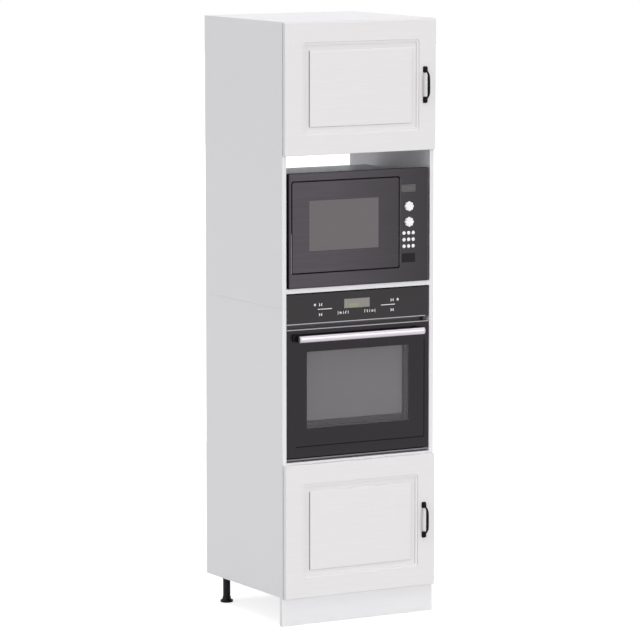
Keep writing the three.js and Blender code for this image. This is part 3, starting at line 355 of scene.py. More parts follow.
def piece(name, mesh, material, body, replaces=()):
    """Links a finished mesh as a piece that rides on a body. Its large faces keep their own
    normals where they meet small roundings."""
    obj = linked(name, mesh)
    mesh.materials.append(material)
    modifier = obj.modifiers.new("weighted", "WEIGHTED_NORMAL")
    modifier.weight = 80
    modifier.keep_sharp = True
    if replaces:
        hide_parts(*replaces)
    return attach(obj, body)


def refinish(obj, material, chosen):
    """One more finish, on the faces that the test picks."""
    obj.data.materials.append(material)
    index = len(obj.data.materials) - 1
    for face in obj.data.polygons:
        if chosen(face):
            face.material_index = index


def faces_sideways(face):
    return abs(face.normal.y) < 0.35


def shaded(mesh, sharp):
    """Smooth shading, with edges kept sharp from the given angle on."""
    mesh.polygons.foreach_set("use_smooth", [True] * len(mesh.polygons))
    mesh.set_sharp_from_angle(angle=math.radians(sharp))
    return mesh


def circle(count):
    """The angles of evenly spaced points round a full turn."""
    return [2 * math.pi * i / count for i in range(count)]


def quarter(steps):
    """Angles from 0 to 90 degrees."""
    return [math.pi / 2 * n / steps for n in range(steps + 1)]


def mesh_of(name, points, faces, sharp=40):
    mesh = bpy.data.meshes.new(name)
    mesh.from_pydata([tuple(p) for p in points], [], faces)
    mesh.validate()
    bm = bmesh.new()
    bm.from_mesh(mesh)
    bmesh.ops.remove_doubles(bm, verts=bm.verts, dist=1e-6)
    bmesh.ops.recalc_face_normals(bm, faces=bm.faces)
    bm.to_mesh(mesh)
    bm.free()
    return shaded(mesh, sharp)


def outline(x0, x1, z0, z1, radius, steps):
    """A rounded rectangle as a list of (x, z), anticlockwise from its lower right corner."""
    radius = max(min(radius, (x1 - x0) / 2 - 1e-6, (z1 - z0) / 2 - 1e-6), 1e-6)
    corners = (
        (x1 - radius, z0 + radius, -90),
        (x1 - radius, z1 - radius, 0),
        (x0 + radius, z1 - radius, 90),
        (x0 + radius, z0 + radius, 180),
    )
    points = []
    for cx, cz, start in corners:
        for step in range(steps + 1):
            angle = math.radians(start + 90 * step / steps)
            points.append((cx + radius * math.cos(angle), cz + radius * math.sin(angle)))
    return points


def stack(name, rings, close_first=True, close_last=True, sharp=40):
    """Joins rings of as many points each by quads, and closes the two ends."""
    count = len(rings[0])
    points = [p for ring in rings for p in ring]
    faces = []
    for level in range(len(rings) - 1):
        for i in range(count):
            j = (i + 1) % count
            a, b = level * count, (level + 1) * count
            faces.append((a + i, a + j, b + j, b + i))
    if close_first:
        faces.append(tuple(range(count - 1, -1, -1)))
    if close_last:
        last = (len(rings) - 1) * count
        faces.append(tuple(last + i for i in range(count)))
    return mesh_of(name, points, faces, sharp)


def loop(name, rings, sharp=40):
    """As stack, but the last ring joins the first, as in a frame round an opening."""
    return stack(name, [*rings, rings[0]], False, False, sharp)


def rounded_plate(name, low, high, axis, corner=0.6, edge=0.6, steps=3, arcs=4):
    """A plate between two corners, its outline's corners and its faces' rims rounded by
    radii in millimetres."""
    corner, edge = corner * MM, edge * MM
    across, up, through = AXES[axis]
    middle = (Vector(low) + Vector(high)) / 2
    size = Vector(high) - Vector(low)
    width, height = abs(size.dot(across)), abs(size.dot(up))
    half = abs(size.dot(through)) / 2
    rings = []
    profile = [(edge * (1 - math.sin(a)), half - edge * (1 - math.cos(a))) for a in quarter(steps)]
    levels = [(inset, -out) for inset, out in profile] + [(inset, out) for inset, out in reversed(profile)]
    for inset, out in levels:
        w, h = width / 2 - inset, height / 2 - inset
        points = outline(-w, w, -h, h, max(corner - inset, 0.15 * MM), arcs)
        rings.append([middle + across * p + up * q + through * out for p, q in points])
    return stack(name, rings)


def turned_rings(profile, centre, axis, sides):
    across, up, through = AXES[axis]
    return [[Vector(centre) + through * height + across * radius * math.cos(a) + up * radius * math.sin(a)
             for a in circle(sides)] for radius, height in profile]


def lathe(name, profile, centre, axis, sides=48, sharp=38):
    """A body of revolution: profile is a list of (radius, height along the axis)."""
    least = 1e-5  # keeps a ring on the axis from closing to a point
    profile = [(max(radius, least), height) for radius, height in profile]
    return stack(name, turned_rings(profile, centre, axis, sides), sharp=sharp)


def ring_lathe(name, profile, centre, axis, sides=64, sharp=38):
    """A ring: the profile closes on itself."""
    return loop(name, turned_rings(profile, centre, axis, sides), sharp)


def tube(name, path, radii, sides=16, squash=1.0):
    """A bar that follows the path with a radius for each of its points."""
    rings = []
    side = None
    for n, point in enumerate(path):
        ahead = path[min(n + 1, len(path) - 1)] - path[max(n - 1, 0)]
        ahead.normalize()
        if side is None:
            side = ahead.orthogonal().normalized()
        side = (side - ahead * side.dot(ahead)).normalized()
        other = ahead.cross(side)
        rings.append([
            point + radii[n] * (side * math.cos(a) + other * math.sin(a) * squash)
            for a in circle(sides)
        ])
    return stack(name, rings, sharp=50)


def joined(name, meshes, sharp=40):
    """One mesh out of several that belong to one piece."""
    bm = bmesh.new()
    for mesh in meshes:
        bm.from_mesh(mesh)
        bpy.data.meshes.remove(mesh)
    made = bpy.data.meshes.new(name)
    bm.to_mesh(made)
    bm.free()
    return shaded(made, sharp)


def carve(mesh, cutters, sharp=35):
    """The mesh less each of the cutters, by an exact boolean that is applied at once."""
    body = linked("carve_body", mesh)
    tools = []
    for n, cutter in enumerate(cutters):
        tool = linked(f"carve_tool_{n}", cutter)
        tools.append(tool)
        modifier = body.modifiers.new(f"cut_{n}", "BOOLEAN")
        modifier.object = tool
        modifier.operation = "DIFFERENCE"
        modifier.solver = "EXACT"
    bpy.context.view_layer.update()
    evaluated = body.evaluated_get(bpy.context.evaluated_depsgraph_get())
    made = bpy.data.meshes.new_from_object(evaluated)
    for obj in [body, *tools]:
        data = obj.data
        bpy.data.objects.remove(obj)
        bpy.data.meshes.remove(data)
    made.materials.clear()
    return shaded(made, sharp)


def dress(node, material, smooth=30, edge=0.0):
    """Gives a CAD node its finish, and a fine rounding of its edges, in mm, where asked."""
    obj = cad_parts[node]
    obj.data.materials.clear()
    obj.data.materials.append(material)
    if edge > 0:
        weld = obj.modifiers.new("weld", "WELD")
        weld.merge_threshold = 1e-6
        bevel = obj.modifiers.new("edges", "BEVEL")
        bevel.width = edge * MM
        bevel.segments = 2
        bevel.limit_method = "ANGLE"
        bevel.angle_limit = math.radians(smooth)
        bevel.use_clamp_overlap = True
        bevel.harden_normals = True
    return obj


def vec(x, y, z):
    return Vector((x, y, z))


def outline_ring(x0, x1, z0, z1, corner, y, arcs=6):
    """A rounded rectangle that faces the front, at the depth y."""
    return [vec(x, y, z) for x, z in outline(x0, x1, z0, z1, corner, arcs)]


def inset_ring(low, high, inset, corner, y, arcs=6):
    return outline_ring(low.x + inset, high.x - inset, low.z + inset, high.z - inset, corner, y, arcs)


def framed_plate(name, low, high, hole_low, hole_high, corner, hole_corner, edge, hole_edge, arcs=6):
    """A plate with a window through it; the rims of its front are rounded."""
    rim = quarter(4)
    rings = [inset_ring(low, high, 0, corner, high.y, arcs)]
    for a in rim:
        inset = edge * (1 - math.cos(a))
        rings.append(inset_ring(low, high, inset, max(corner - inset, 0.3 * MM),
                                low.y + edge * (1 - math.sin(a)), arcs))
    for a in reversed(rim):
        out = -hole_edge * (1 - math.cos(a))
        rings.append(inset_ring(hole_low, hole_high, out, hole_corner - out,
                                low.y + hole_edge * (1 - math.sin(a)), arcs))
    rings.append(inset_ring(hole_low, hole_high, 0, hole_corner, high.y, arcs))
    return loop(name, rings)


def box_mesh(name, low, high, axis="y", corner=0.01):
    return rounded_plate(name, low, high, axis, corner, 0.01, 1, 2)


def grown(low, high, dx=0.0, dy=0.0, dz=0.0):
    step = vec(dx, dy, dz)
    return low - step, high + step


def centre_of(node):
    low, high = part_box(node)
    return (low + high) / 2


def group(name, meshes, material, body, replaces=(), sharp=40):
    """A piece that is made of several meshes."""
    return piece(name, joined(name, meshes, sharp), material, body, replaces)


# ------------------------------------------------------------------ carcass
BAND = 1.0 * MM  # thickness of the edge band on each board's front

BOARD_AXES = {
    "side_left_lower": "x", "side_left_upper": "x", "side_right_lower": "x", "side_right_upper": "x",
    "bottom_panel": "z", "oven_shelf": "z", "middle_shelf": "z", "upper_cupboard_floor": "z",
    "top_panel": "z",
}


def add_boards():
    for node, axis in BOARD_AXES.items():
        low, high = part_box(node)
        split = low.y + BAND
        board = rounded_plate(f"{node}_board", vec(low.x, split, low.z), high, axis, 0.3, 0.3)
        piece(f"{node}_board", board, WHITE_BOARD, "housing", [node])
        top = vec(high.x, split - 0.05 * MM, high.z)
        band = rounded_plate(f"{node}_edge_band", low, top, "y", 0.5, 0.45)
        piece(f"{node}_edge_band", band, WHITE_BOARD, "housing")


def add_backs():
    for node in ("back_panel_lower", "back_panel_upper"):
        low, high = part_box(node)
        panel = rounded_plate(f"{node}_sheet", low, high, "y", 1, 0.3)
        piece(f"{node}_sheet", panel, HARDBOARD, "housing", [node])
        pins = []
        inset, pitch = 8 * MM, 145 * MM
        for x in spaced(low.x + inset, high.x - inset, pitch):
            pins += [pin_head(vec(x, high.y, z)) for z in (low.z + inset, high.z - inset)]
        for z in spaced(low.z + inset, high.z - inset, pitch)[1:-1]:
            pins += [pin_head(vec(x, high.y, z)) for x in (low.x + inset, high.x - inset)]
        group(f"{node}_pins", pins, ZINC, "housing")


def spaced(low, high, pitch):
    count = max(1, round((high - low) / pitch))
    return [low + (high - low) * n / count for n in range(count + 1)]


def pin_head(place):
    """A pin's low dome on the back of the sheet."""
    r = 2.6
    profile = millimetres((r * 0.9, 0.3), (r, -0.1), (r * 0.8, -0.5), (r * 0.4, -0.7), (0, -0.75))
    return lathe("pin", profile, place, "y", 14)


def add_plinth():
    low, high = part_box("plinth")
    board = rounded_plate("plinth_board", low, high, "y", 0.8, 0.8)
    piece("plinth_board", board, PLINTH_FOIL, "housing", ["plinth"])


def foot_mesh(name, node):
    low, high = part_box(node)
    centre = (low + high) / 2
    r, top = (high.x - low.x) / 2 / MM, high.z / MM
    stem, base, dish = 13, 22.5, 13
    flange = top - 4
    profile = millimetres(
        (1, 0), (base - 2, 0), (base - 0.6, 0.5), (base, 2), (base, dish * 0.55),
        (base - 0.5, dish * 0.62), (base - 1.6, dish * 0.6), (base - 4, dish * 0.7),
        (stem + 3, dish * 0.92), (stem + 1.8, dish * 1.05), (stem + 1.8, dish * 1.45),
        (stem + 1, dish * 1.55), (stem, dish * 1.6), (stem, flange - 14), (stem + 1.5, flange - 13),
        (stem + 1.5, flange - 3), (stem + 3, flange), (r - 0.8, flange), (r, flange + 0.8),
        (r, top - 0.6), (r - 0.6, top), (1, top),
    )
    return lathe(name, profile, vec(centre.x, centre.y, 0), "z", 40)


def add_feet():
    for node in ("foot_front_left", "foot_front_right", "foot_rear_left", "foot_rear_right"):
        foot = foot_mesh(f"{node}_leg", node)
        piece(f"{node}_leg", foot, BLACK_PLASTIC, "housing", [node])


# ------------------------------------------------------------------ panel doors
BORDER = 68 * MM  # flat border outside the routed steps
# From here to FIELD_DROP in millimetres.
STEP = 2.2  # depth of the first step
SHELF = 9.6  # width from the first step to the second
FLOOR = 5.2  # depth of the groove's floor
FIELD = 27.5  # the raised field's wall inside the border
FOOT = 6.6  # depth at the foot of the field's wall
FIELD_DROP = 0.5
DOOR_EDGE = 2.5 * MM
DOOR_CORNER = 3 * MM
PANEL_CORNER = 12 * MM
CUP_BORE = 17.8 * MM  # radius of a hinge cup's bore
CUP_SCREW = 22.5 * MM  # a cup's screw above or below its middle


def door_profile(thickness):
    """(inset, depth behind the face, corner radius) from the back's rim to the raised field."""
    profile = [(0.4 * MM, thickness, DOOR_CORNER), (0, thickness - 0.4 * MM, DOOR_CORNER)]
    for a in quarter(5):
        inset = DOOR_EDGE * (1 - math.cos(a))
        profile.append((inset, DOOR_EDGE * (1 - math.sin(a)), DOOR_CORNER - inset))
    inner = millimetres(
        (-0.4, 0), (-0.1, 0.1), (0, 0.4), (0.2, STEP - 0.3), (0.7, STEP), (SHELF * 0.55, STEP + 0.15),
        (SHELF - 0.3, STEP + 0.25), (SHELF, STEP + 0.5), (SHELF + 0.3, FLOOR - 0.5), (SHELF + 1.2, FLOOR),
        (FIELD - 3, FLOOR + 0.4), (FIELD - 1.1, FOOT - 0.1), (FIELD - 0.2, FOOT), (FIELD, FOOT - 0.3),
        (FIELD, 1.5), (FIELD + 0.4, 1.0), (FIELD + 1.6, 0.75), (FIELD + 9, FIELD_DROP),
    )
    profile += [(BORDER + inset, depth, max(PANEL_CORNER - inset, 1.5 * MM)) for inset, depth in inner]
    return profile


def panel_door(name, node, cups):
    low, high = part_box(node)
    rings = [inset_ring(low, high, inset, corner, low.y + depth, 8)
             for inset, depth, corner in door_profile(high.y - low.y)]
    mesh = stack(name, rings, sharp=30)
    bores = []
    for cup in cups:
        middle = centre_of(cup)
        bores.append(lathe("bore", [(CUP_BORE, -2 * MM), (CUP_BORE, 14 * MM)],
                           vec(middle.x, high.y, middle.z), "y", 48))
    return carve(mesh, bores, 30)


def routed_wall_test(node):
    """Picks the steep walls of a panel door's grooves, less those that face up; they take a darker foil as
    painted shade.
    """
    low, high = grown(*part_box(node), 1 * MM - BORDER, 0, 1 * MM - BORDER)

    def chosen(face):
        inside = low.x < face.center.x < high.x and low.z < face.center.z < high.z
        steep = abs(face.normal.y) < 0.75 and face.normal.z < 0.5
        return inside and steep and face.center.y < low.y + 8 * MM
    return chosen


def catmull(points, count):
    """Points along a smooth curve through the given ones."""
    extended = [2 * points[0] - points[1], *points, 2 * points[-1] - points[-2]]
    made = []
    for n in range(count + 1):
        place = n / count * (len(points) - 1)
        k = min(int(place), len(points) - 2)
        t = place - k
        a, b, c, d = extended[k:k + 4]
        made.append(0.5 * ((2 * b) + (c - a) * t + (2 * a - 5 * b + 4 * c - d) * t ** 2
                           + (3 * b - a - 3 * c + d) * t ** 3))
    return made


def tapered_block(name, x, z, base, width, height, rise):
    """A pull's foot: its sides run in towards a bevelled face."""
    rings = []
    levels = [(0, 0), (0.2, 0.1), (0.45, 0.5), (0.65, 1.2), (0.8, 2.1), (0.92, 3.4), (1.0, 5.4)]
    for t, inset in levels:
        w, h = width / 2 - inset * MM, height / 2 - inset * MM
        rings.append(outline_ring(x - w, x + w, z - h, z + h, 4.2 * MM, base - rise * t, 6))
    return stack(name, rings, sharp=25)


def bow_pull(name, node, door):
    low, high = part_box(node)
    x, z = (low.x + high.x) / 2, (low.z + high.z) / 2
    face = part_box(door)[0].y
    half, bar, neck = 52 * MM, 5 * MM, 2.7 * MM
    reach = face - low.y - bar - 3 * MM
    shares = [(-1, 0.2), (-0.90, 0.50), (-0.76, 0.80), (-0.60, 0.96), (-0.3, 1.0), (0, 1.0),
              (0.3, 1.0), (0.60, 0.96), (0.76, 0.80), (0.90, 0.50), (1, 0.2)]
    path = catmull([vec(x, face - out * reach, z + half * along) for along, out in shares], 64)
    radii = [neck + (bar - neck) * min(1.0, 1.12 * math.sin(math.pi * n / 64)) ** 3 for n in range(65)]
    bow = tube("bow", path, radii, 20)
    blocks = [tapered_block("block", x, z + side * half, high.y, 16 * MM, 22 * MM, 11 * MM)
              for side in (-1, 1)]
    return joined(name, [bow, *blocks], 25)


def cross_screw(place, radius, toward):
    """A screw head with a cross recess, its face towards the front (1) or the back (-1)."""
    h = 0.9 * MM * toward
    dome = [(radius, -0.2 * MM * toward), (radius, 0.15 * h), (radius * 0.8, 0.7 * h),
            (radius * 0.45, 0.95 * h), (0, h)]
    head = lathe("head", dome, place, "y", 20)
    across, up, through = AXES["y"]
    slots = []
    for first, second in ((across, up), (up, across)):
        reach = first * radius * 0.62 + second * radius * 0.14 + through * 0.7 * MM
        middle = Vector(place) + through * h
        corner_a, corner_b = middle - reach, middle + reach
        low = vec(*(min(a, b) for a, b in zip(corner_a, corner_b)))
        high = vec(*(max(a, b) for a, b in zip(corner_a, corner_b)))
        slots.append(box_mesh("slot", low, high))
    return carve(head, slots)


def add_panel_doors():
    for word in ("upper", "lower"):
        node = f"{word}_door"  # and the name of its body
        cups = [f"{node}_hinge_cup_{end}" for end in ("bottom", "top")]
        door = piece(f"{node}_panel", panel_door(f"{node}_panel", node, cups), WHITE_FOIL, node,
                     [node])
        # painted shade: the grooves' steep walls take the darker foil
        refinish(door, GROOVE_PAINTED_SHADE, routed_wall_test(node))
        pull = bow_pull(f"{node}_bow", f"{node}_pull", node)
        piece(f"{node}_bow", pull, BLACK_IRON, node, [f"{node}_pull"])
        for cup in cups:
            dress(cup, NICKEL, edge=0.3)
            back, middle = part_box(cup)[1].y, centre_of(cup)
            heads = [cross_screw(vec(middle.x, back, middle.z + side * CUP_SCREW), 3.2 * MM, -1)
                     for side in (-1, 1)]
            group(f"{cup}_screws", heads, NICKEL, node)
            dress(cup.replace("cup", "arm"), NICKEL, edge=0.4)


# ------------------------------------------------------------------ microwave oven
RIM = 2.6 * MM  # chamfer on the surround beside the door's gap, painted black as shade that widens the gap's dark line


def microwave_frame_mesh():
    low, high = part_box("microwave_frame")
    door_low, door_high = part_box("microwave_door")
    gap = 2 * MM
    hole_low, hole_high = grown(door_low, door_high, gap, 0, gap)
    bevel, bevel_depth, corner = 5 * MM, 3 * MM, 7 * MM
    outside = ((0, 1.2, bevel_depth + 0.4 * MM), (0.25 * MM, 1.2, bevel_depth - 0.1 * MM),
               (bevel - 0.5 * MM, 1.0, 0.35 * MM), (bevel + 0.3 * MM, 1.0, 0))
    window = ((RIM + 0.5 * MM, 0), (RIM, 0.4), (0.6 * MM, 1.4), (0, 2))
    rings = [inset_ring(low, high, 0, 1.2 * MM, high.y)]
    rings += [inset_ring(low, high, inset, r * MM, low.y + depth) for inset, r, depth in outside]
    rings += [inset_ring(hole_low, hole_high, -out, corner + out, low.y + depth * MM)
              for out, depth in window]
    rings.append(inset_ring(hole_low, hole_high, 0, corner, high.y))
    body = loop("frame_body", rings, 25)
    wall = 3 * MM
    inside = [vec(hole_high.x + wall, low.y + wall, low.z + bevel),
              vec(high.x - bevel, high.y + 1 * MM, high.z - bevel)]
    cutters = [box_mesh("inside", *inside)]
    lcd_low, lcd_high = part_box("microwave_display")
    cutters.append(box_mesh("lcd", *grown(lcd_low, lcd_high, 0.3 * MM, 9 * MM, 0.3 * MM)))
    key_low, key_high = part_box("microwave_open_key")
    flange, clearance = 1.5 * MM, 0.5 * MM
    collar = flange - clearance
    cutters.append(box_mesh("key", *grown(key_low, key_high, -collar, 9 * MM, -collar), corner=2))
    for n in range(1, 10):
        cutters.append(through_hole(centre_of(f"microwave_key_{n}"), 7.3 * MM, low.y))
    for word in ("upper", "lower"):
        cutters.append(through_hole(centre_of(f"microwave_knob_{word}"), 3.5 * MM, low.y))
    return carve(body, cutters, 25)


def through_hole(centre, radius, front):
    return lathe("hole", [(radius, -8 * MM), (radius, 4 * MM)], vec(centre.x, front, centre.z), "y", 36)


def knob_mesh(name, node):
    low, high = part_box(node)
    centre = (low + high) / 2
    radius = (high.x - low.x) / 2
    front, back = low.y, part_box("microwave_frame")[0].y - 0.3 * MM
    lobes, count = 8, 160
    levels = [(0.6, 0), (0, 0.5), (0, 6.2), (0.25, 7.2), (0.9, 8.1), (2.0, 8.7), (3.4, 8.97),
              (7.6, 9.0), (8.4, 8.6), (12, 8.5)]
    rings = []
    for inset, height in levels:
        ring = []
        for n in range(count):
            a = 2 * math.pi * n / count
            lobe = 2.4 * MM * ((1 - math.cos(lobes * a)) / 2) ** 1.5 * max(0, 1 - inset / 7)
            r = radius - inset * MM - lobe
            y = back + (front - back) * height / 9
            ring.append(vec(centre.x + r * math.cos(a), y, centre.z + r * math.sin(a)))
        rings.append(ring)
    grip = stack("grip", rings, sharp=35)
    shaft = lathe("shaft", [(3 * MM, 0), (3 * MM, high.y - back)], vec(centre.x, high.y, centre.z), "y", 20)
    return joined(name, [grip, shaft], 35)


def key_mesh(name, node):
    low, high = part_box(node)
    centre = (low + high) / 2
    r, stem, flange = 6.2, 4, 8.3
    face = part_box("microwave_frame")[0].y + 3 * MM
    length = (high.y - low.y) / MM
    collar = (high.y - face) / MM - 0.3
    profile = millimetres(
        (stem, 0), (stem, collar - 1.5), (flange, collar - 1.5), (flange, collar), (r, collar),
        (r, length - 1.3), (r - 0.25, length - 0.75), (r - 0.9, length - 0.35), (r - 2.2, length - 0.12),
        (1, length),
    )
    return lathe(name, profile, vec(centre.x, high.y, centre.z), "y", 32)


def open_key_mesh(name):
    low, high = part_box("microwave_open_key")
    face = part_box("microwave_frame")[0].y + 3 * MM
    overlap = 1.5 * MM
    cap = rounded_plate("cap", vec(low.x + overlap, low.y, low.z + overlap),
                        vec(high.x - overlap, high.y, high.z - overlap), "y", 1.5, 0.7, 4, 5)
    collar = rounded_plate("collar", vec(low.x, face + 0.3 * MM, low.z),
                           vec(high.x, face + 1.8 * MM, high.z), "y", 0.5, 0.2)
    return joined(name, [cap, collar])


def add_microwave_front():
    surround = piece("microwave_surround", microwave_frame_mesh(), FRAME_GREY, "housing",
                     ["microwave_frame"])
    low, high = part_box("microwave_door")
    rim = RIM + 2.1 * MM  # the door's gap and the chamfer beside it; these and the surround's side faces are painted black as shade
    refinish(surround, GAP_SHADE_BLACK, lambda face: faces_sideways(face) or (
        low.x - rim < face.center.x < high.x + rim and low.z - rim < face.center.z < high.z + rim))
    # painted highlight: a thin lighter band beside the rim, right of the door
    refinish(surround, EDGE_HIGHLIGHT_GREY, lambda face: (
        high.x + rim <= face.center.x < high.x + rim + 0.6 * MM and low.z < face.center.z < high.z))
    # the surround's left rim, with a painted highlight on its lower part
    refinish(surround, LEFT_RIM_HIGHLIGHT, lambda face: (
        low.x - rim < face.center.x < low.x - 2.6 * MM and low.z < face.center.z < high.z
        and face.center.y < low.y + 1.6 * MM))
    pane_low, pane_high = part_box("microwave_door_window")
    hole = grown(pane_low, pane_high, 0.3 * MM, 0, 0.3 * MM)
    door = framed_plate("microwave_door_panel", low, high, *hole, 5 * MM, 0.5 * MM, 1.2 * MM, 0.5 * MM)
    door = piece("microwave_door_panel", door, FRAME_GREY, "microwave_door",
                 ["microwave_door"])
    # the door panel's side faces are painted black as shade in the gap
    refinish(door, GAP_SHADE_BLACK, faces_sideways)
    pane = rounded_plate("microwave_pane", pane_low, pane_high, "y", 0.4, 0.3)
    piece("microwave_pane", pane, WINDOW_SCREEN, "microwave_door",
          ["microwave_door_window"])
    lcd_low, lcd_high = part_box("microwave_display")
    lcd = rounded_plate("microwave_lcd", lcd_low, lcd_high, "y", 0.6, 0.2)
    piece("microwave_lcd", lcd, DIM_DISPLAY, "housing", ["microwave_display"])
    for word in ("upper", "lower"):
        node = f"microwave_knob_{word}"
        piece(f"{node}_grip", knob_mesh(f"{node}_grip", node), WHITE_PLASTIC, f"knob_{word}",
              [node])
    for n in range(1, 10):
        node = f"microwave_key_{n}"
        piece(f"{node}_cap", key_mesh(f"{node}_cap", node), WHITE_PLASTIC, f"key_{n}",
              [node])
    piece("microwave_open_key_cap", open_key_mesh("microwave_open_key_cap"), DARK_PLASTIC, "open_key",
          ["microwave_open_key"])


def add_turntable():
    low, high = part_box("microwave_turntable")
    centre = (low + high) / 2
    r, top, hub = (high.x - low.x) / 2 / MM, high.z / MM, low.z / MM
    plate = top - 8  # the plate's underside
    profile = millimetres(
        (1, hub), (18, hub), (19, hub + 1), (22, plate - 1), (24, plate), (r - 15, plate),
        (r - 8, plate + 1.6), (r - 2, plate + 5), (r, top - 1.8), (r - 0.4, top - 0.5), (r - 1.5, top),
        (r - 3, top - 0.8), (r - 9, plate + 5.6), (r - 16, plate + 5), (60, plate + 5),
        (58, plate + 4.4), (40, plate + 4.4), (38, plate + 5), (1, plate + 5),
    )
    plate = lathe("turntable_plate", profile, vec(centre.x, centre.y, 0), "z", 96, 30)
    piece("turntable_plate", plate, CLEAR_GLASS, "turntable", ["microwave_turntable"])


def add_roller_ring():
    low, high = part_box("microwave_roller_ring")
    table = centre_of("microwave_turntable")
    axle = (low.z + high.z) / 2
    deep, r, width = 2.5, 6.5, 7
    inner, outer, cut = 84.5, 91.5, 0.8  # the ring's radii and its edges' chamfer
    section = millimetres((inner, -deep + cut), (inner + cut, -deep), (outer - cut, -deep),
                          (outer, -deep + cut), (outer, deep - cut), (outer - cut, deep),
                          (inner + cut, deep), (inner, deep - cut))
    tyre = millimetres((r * 0.5, 0), (r - 0.6, 0), (r, 0.6), (r, width - 0.6), (r - 0.6, width),
                       (r * 0.5, width), (r * 0.45, width - 0.8))
    meshes = [ring_lathe("ring", section, vec(table.x, table.y, axle), "z", 96)]
    for n in range(3):
        a = 2 * math.pi * n / 3
        start = (outer - 1) * MM
        roller = lathe("roller", tyre, vec(0, 0, 0), "x", 32)
        roller.transform(Matrix.Translation(vec(table.x, table.y, axle)) @ Matrix.Rotation(a, 4, "Z")
                         @ Matrix.Translation(vec(start, 0, 0)))
        meshes.append(roller)
    group("turntable_ring", meshes, WHITE_PLASTIC, "roller_ring",
          ["microwave_roller_ring"])


def add_microwave_body():
    dress("microwave_case", ZINC, edge=0.3)
    dress("microwave_cavity", ZINC, edge=0.3)
    add_turntable()
    add_roller_ring()


# ------------------------------------------------------------------ oven
LIT_BLOCKS = ((20, 57, 4, 17), (6, 10, 6, 26))  # mm from the display's lower left corner
PANE_OVERLAP = 18 * MM  # the inner pane reaches past the window by this
TRIM_HEIGHT = 3.2 * MM
TRIM_PROUD = 0.25 * MM
RACK_BARS = 13
BAR_RADIUS = 2.5 * MM


def add_fascia():
    low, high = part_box("oven_control_panel")
    screen_low, screen_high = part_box("oven_display")
    shell = rounded_plate("fascia", low, high, "y", 1, 0.8, 3, 4)
    wall, glass = 3 * MM, 5 * MM
    inside = box_mesh("inside", vec(low.x + wall, low.y + glass, low.z + wall),
                      vec(high.x - wall, high.y + 1 * MM, high.z - wall))
    hole = box_mesh("hole", *grown(screen_low, screen_high, 0.3 * MM, 5 * MM, 0.3 * MM))
    fascia = carve(shell, [inside, hole])
    piece("oven_fascia", fascia, BLACK_GLASS, "housing", ["oven_control_panel"])
    screen = rounded_plate("oven_screen", screen_low, screen_high, "y", 0.5, 0.2)
    piece("oven_screen", screen, DISPLAY, "housing", ["oven_display"])
    left, foot = screen_low.x, screen_low.z
    marks = [ink_bar(left + (x0 + x1) / 2 * MM, foot + (z0 + z1) / 2 * MM, (x1 - x0) * MM, (z1 - z0) * MM,
                     screen_low.y) for x0, x1, z0, z1 in LIT_BLOCKS]
    group("oven_screen_marks", marks, SEGMENTS, "housing", sharp=30)


def add_oven_door():
    low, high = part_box("oven_door_glass")
    tray_low, tray_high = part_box("oven_door_frame")
    pane_low, pane_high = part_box("oven_door_inner_glass")
    overlap = PANE_OVERLAP
    window_low = vec(pane_low.x + overlap, low.y, pane_low.z + overlap)
    window_high = vec(pane_high.x - overlap, high.y, pane_high.z - overlap)
    border = framed_plate("oven_door_border", low, high, window_low, window_high,
                          2 * MM, 0.3 * MM, 0.7 * MM, 0.01 * MM)
    piece("oven_door_border", border, DOOR_GLASS, "oven_door", ["oven_door_glass"])
    pane = box_mesh("oven_door_window", *grown(window_low, window_high, 0, -0.02 * MM, 0), corner=0.3)
    piece("oven_door_window", pane, OVEN_WINDOW, "oven_door")
    dress("oven_door_frame", ENAMEL, edge=0.3)
    side, bottom, top = 10 * MM + overlap, 23 * MM + overlap, 3 * MM + overlap
    field_low = vec(pane_low.x + side, pane_low.y, pane_low.z + bottom)
    field_high = vec(pane_high.x - side, pane_high.y, pane_high.z - top)
    inner = framed_plate("oven_inner_border", pane_low, pane_high, field_low, field_high,
                         1.5 * MM, 1 * MM, 0.5 * MM, 0.01 * MM)
    piece("oven_inner_border", inner, BLACK_GLASS, "oven_door", ["oven_door_inner_glass"])
    # the window's light grey field: painted reflection
    field = box_mesh("oven_inner_field", *grown(field_low, field_high, 0, -0.02 * MM, 0), corner=1)
    piece("oven_inner_field", field, INNER_FIELD_REFLECTION, "oven_door")


def ellipse_ring(x, y, z, half_depth, half_height, count=40):
    return [vec(x, y + half_depth * math.cos(a), z + half_height * math.sin(a)) for a in circle(count)]


def oval_rod(name, x0, x1, y, z, half_depth, half_height, round_end):
    """An oval bar along X with rounded ends."""
    rings = []
    for end, side, angles in ((x0, -1, quarter(5)), (x1, 1, quarter(5)[::-1])):
        for a in angles:
            inset = round_end * (1 - math.sin(a))
            x = end - side * round_end * (1 - math.cos(a))
            rings.append(ellipse_ring(x, y, z, half_depth - inset, half_height - inset))
    return stack(name, rings, sharp=50)


def add_door_shade_lines():
    """Painted shade: dark lines on the door glass along its foot and right side, standing in for the shadow
    line at the inner door's edge.
    """
    low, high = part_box("oven_door_glass")
    left, right, foot, width = low.x + 35.5 * MM, high.x - 17.5 * MM, low.z + 37 * MM, 3.4 * MM
    top = high.z - 62 * MM
    lines = [ink_bar((left + right) / 2, foot, right - left, width, low.y),
             ink_bar(right, (foot + top) / 2, width, top - foot, low.y)]
    group("oven_door_inner_edge", lines, DOOR_SHADE_LINE, "oven_door", sharp=30)


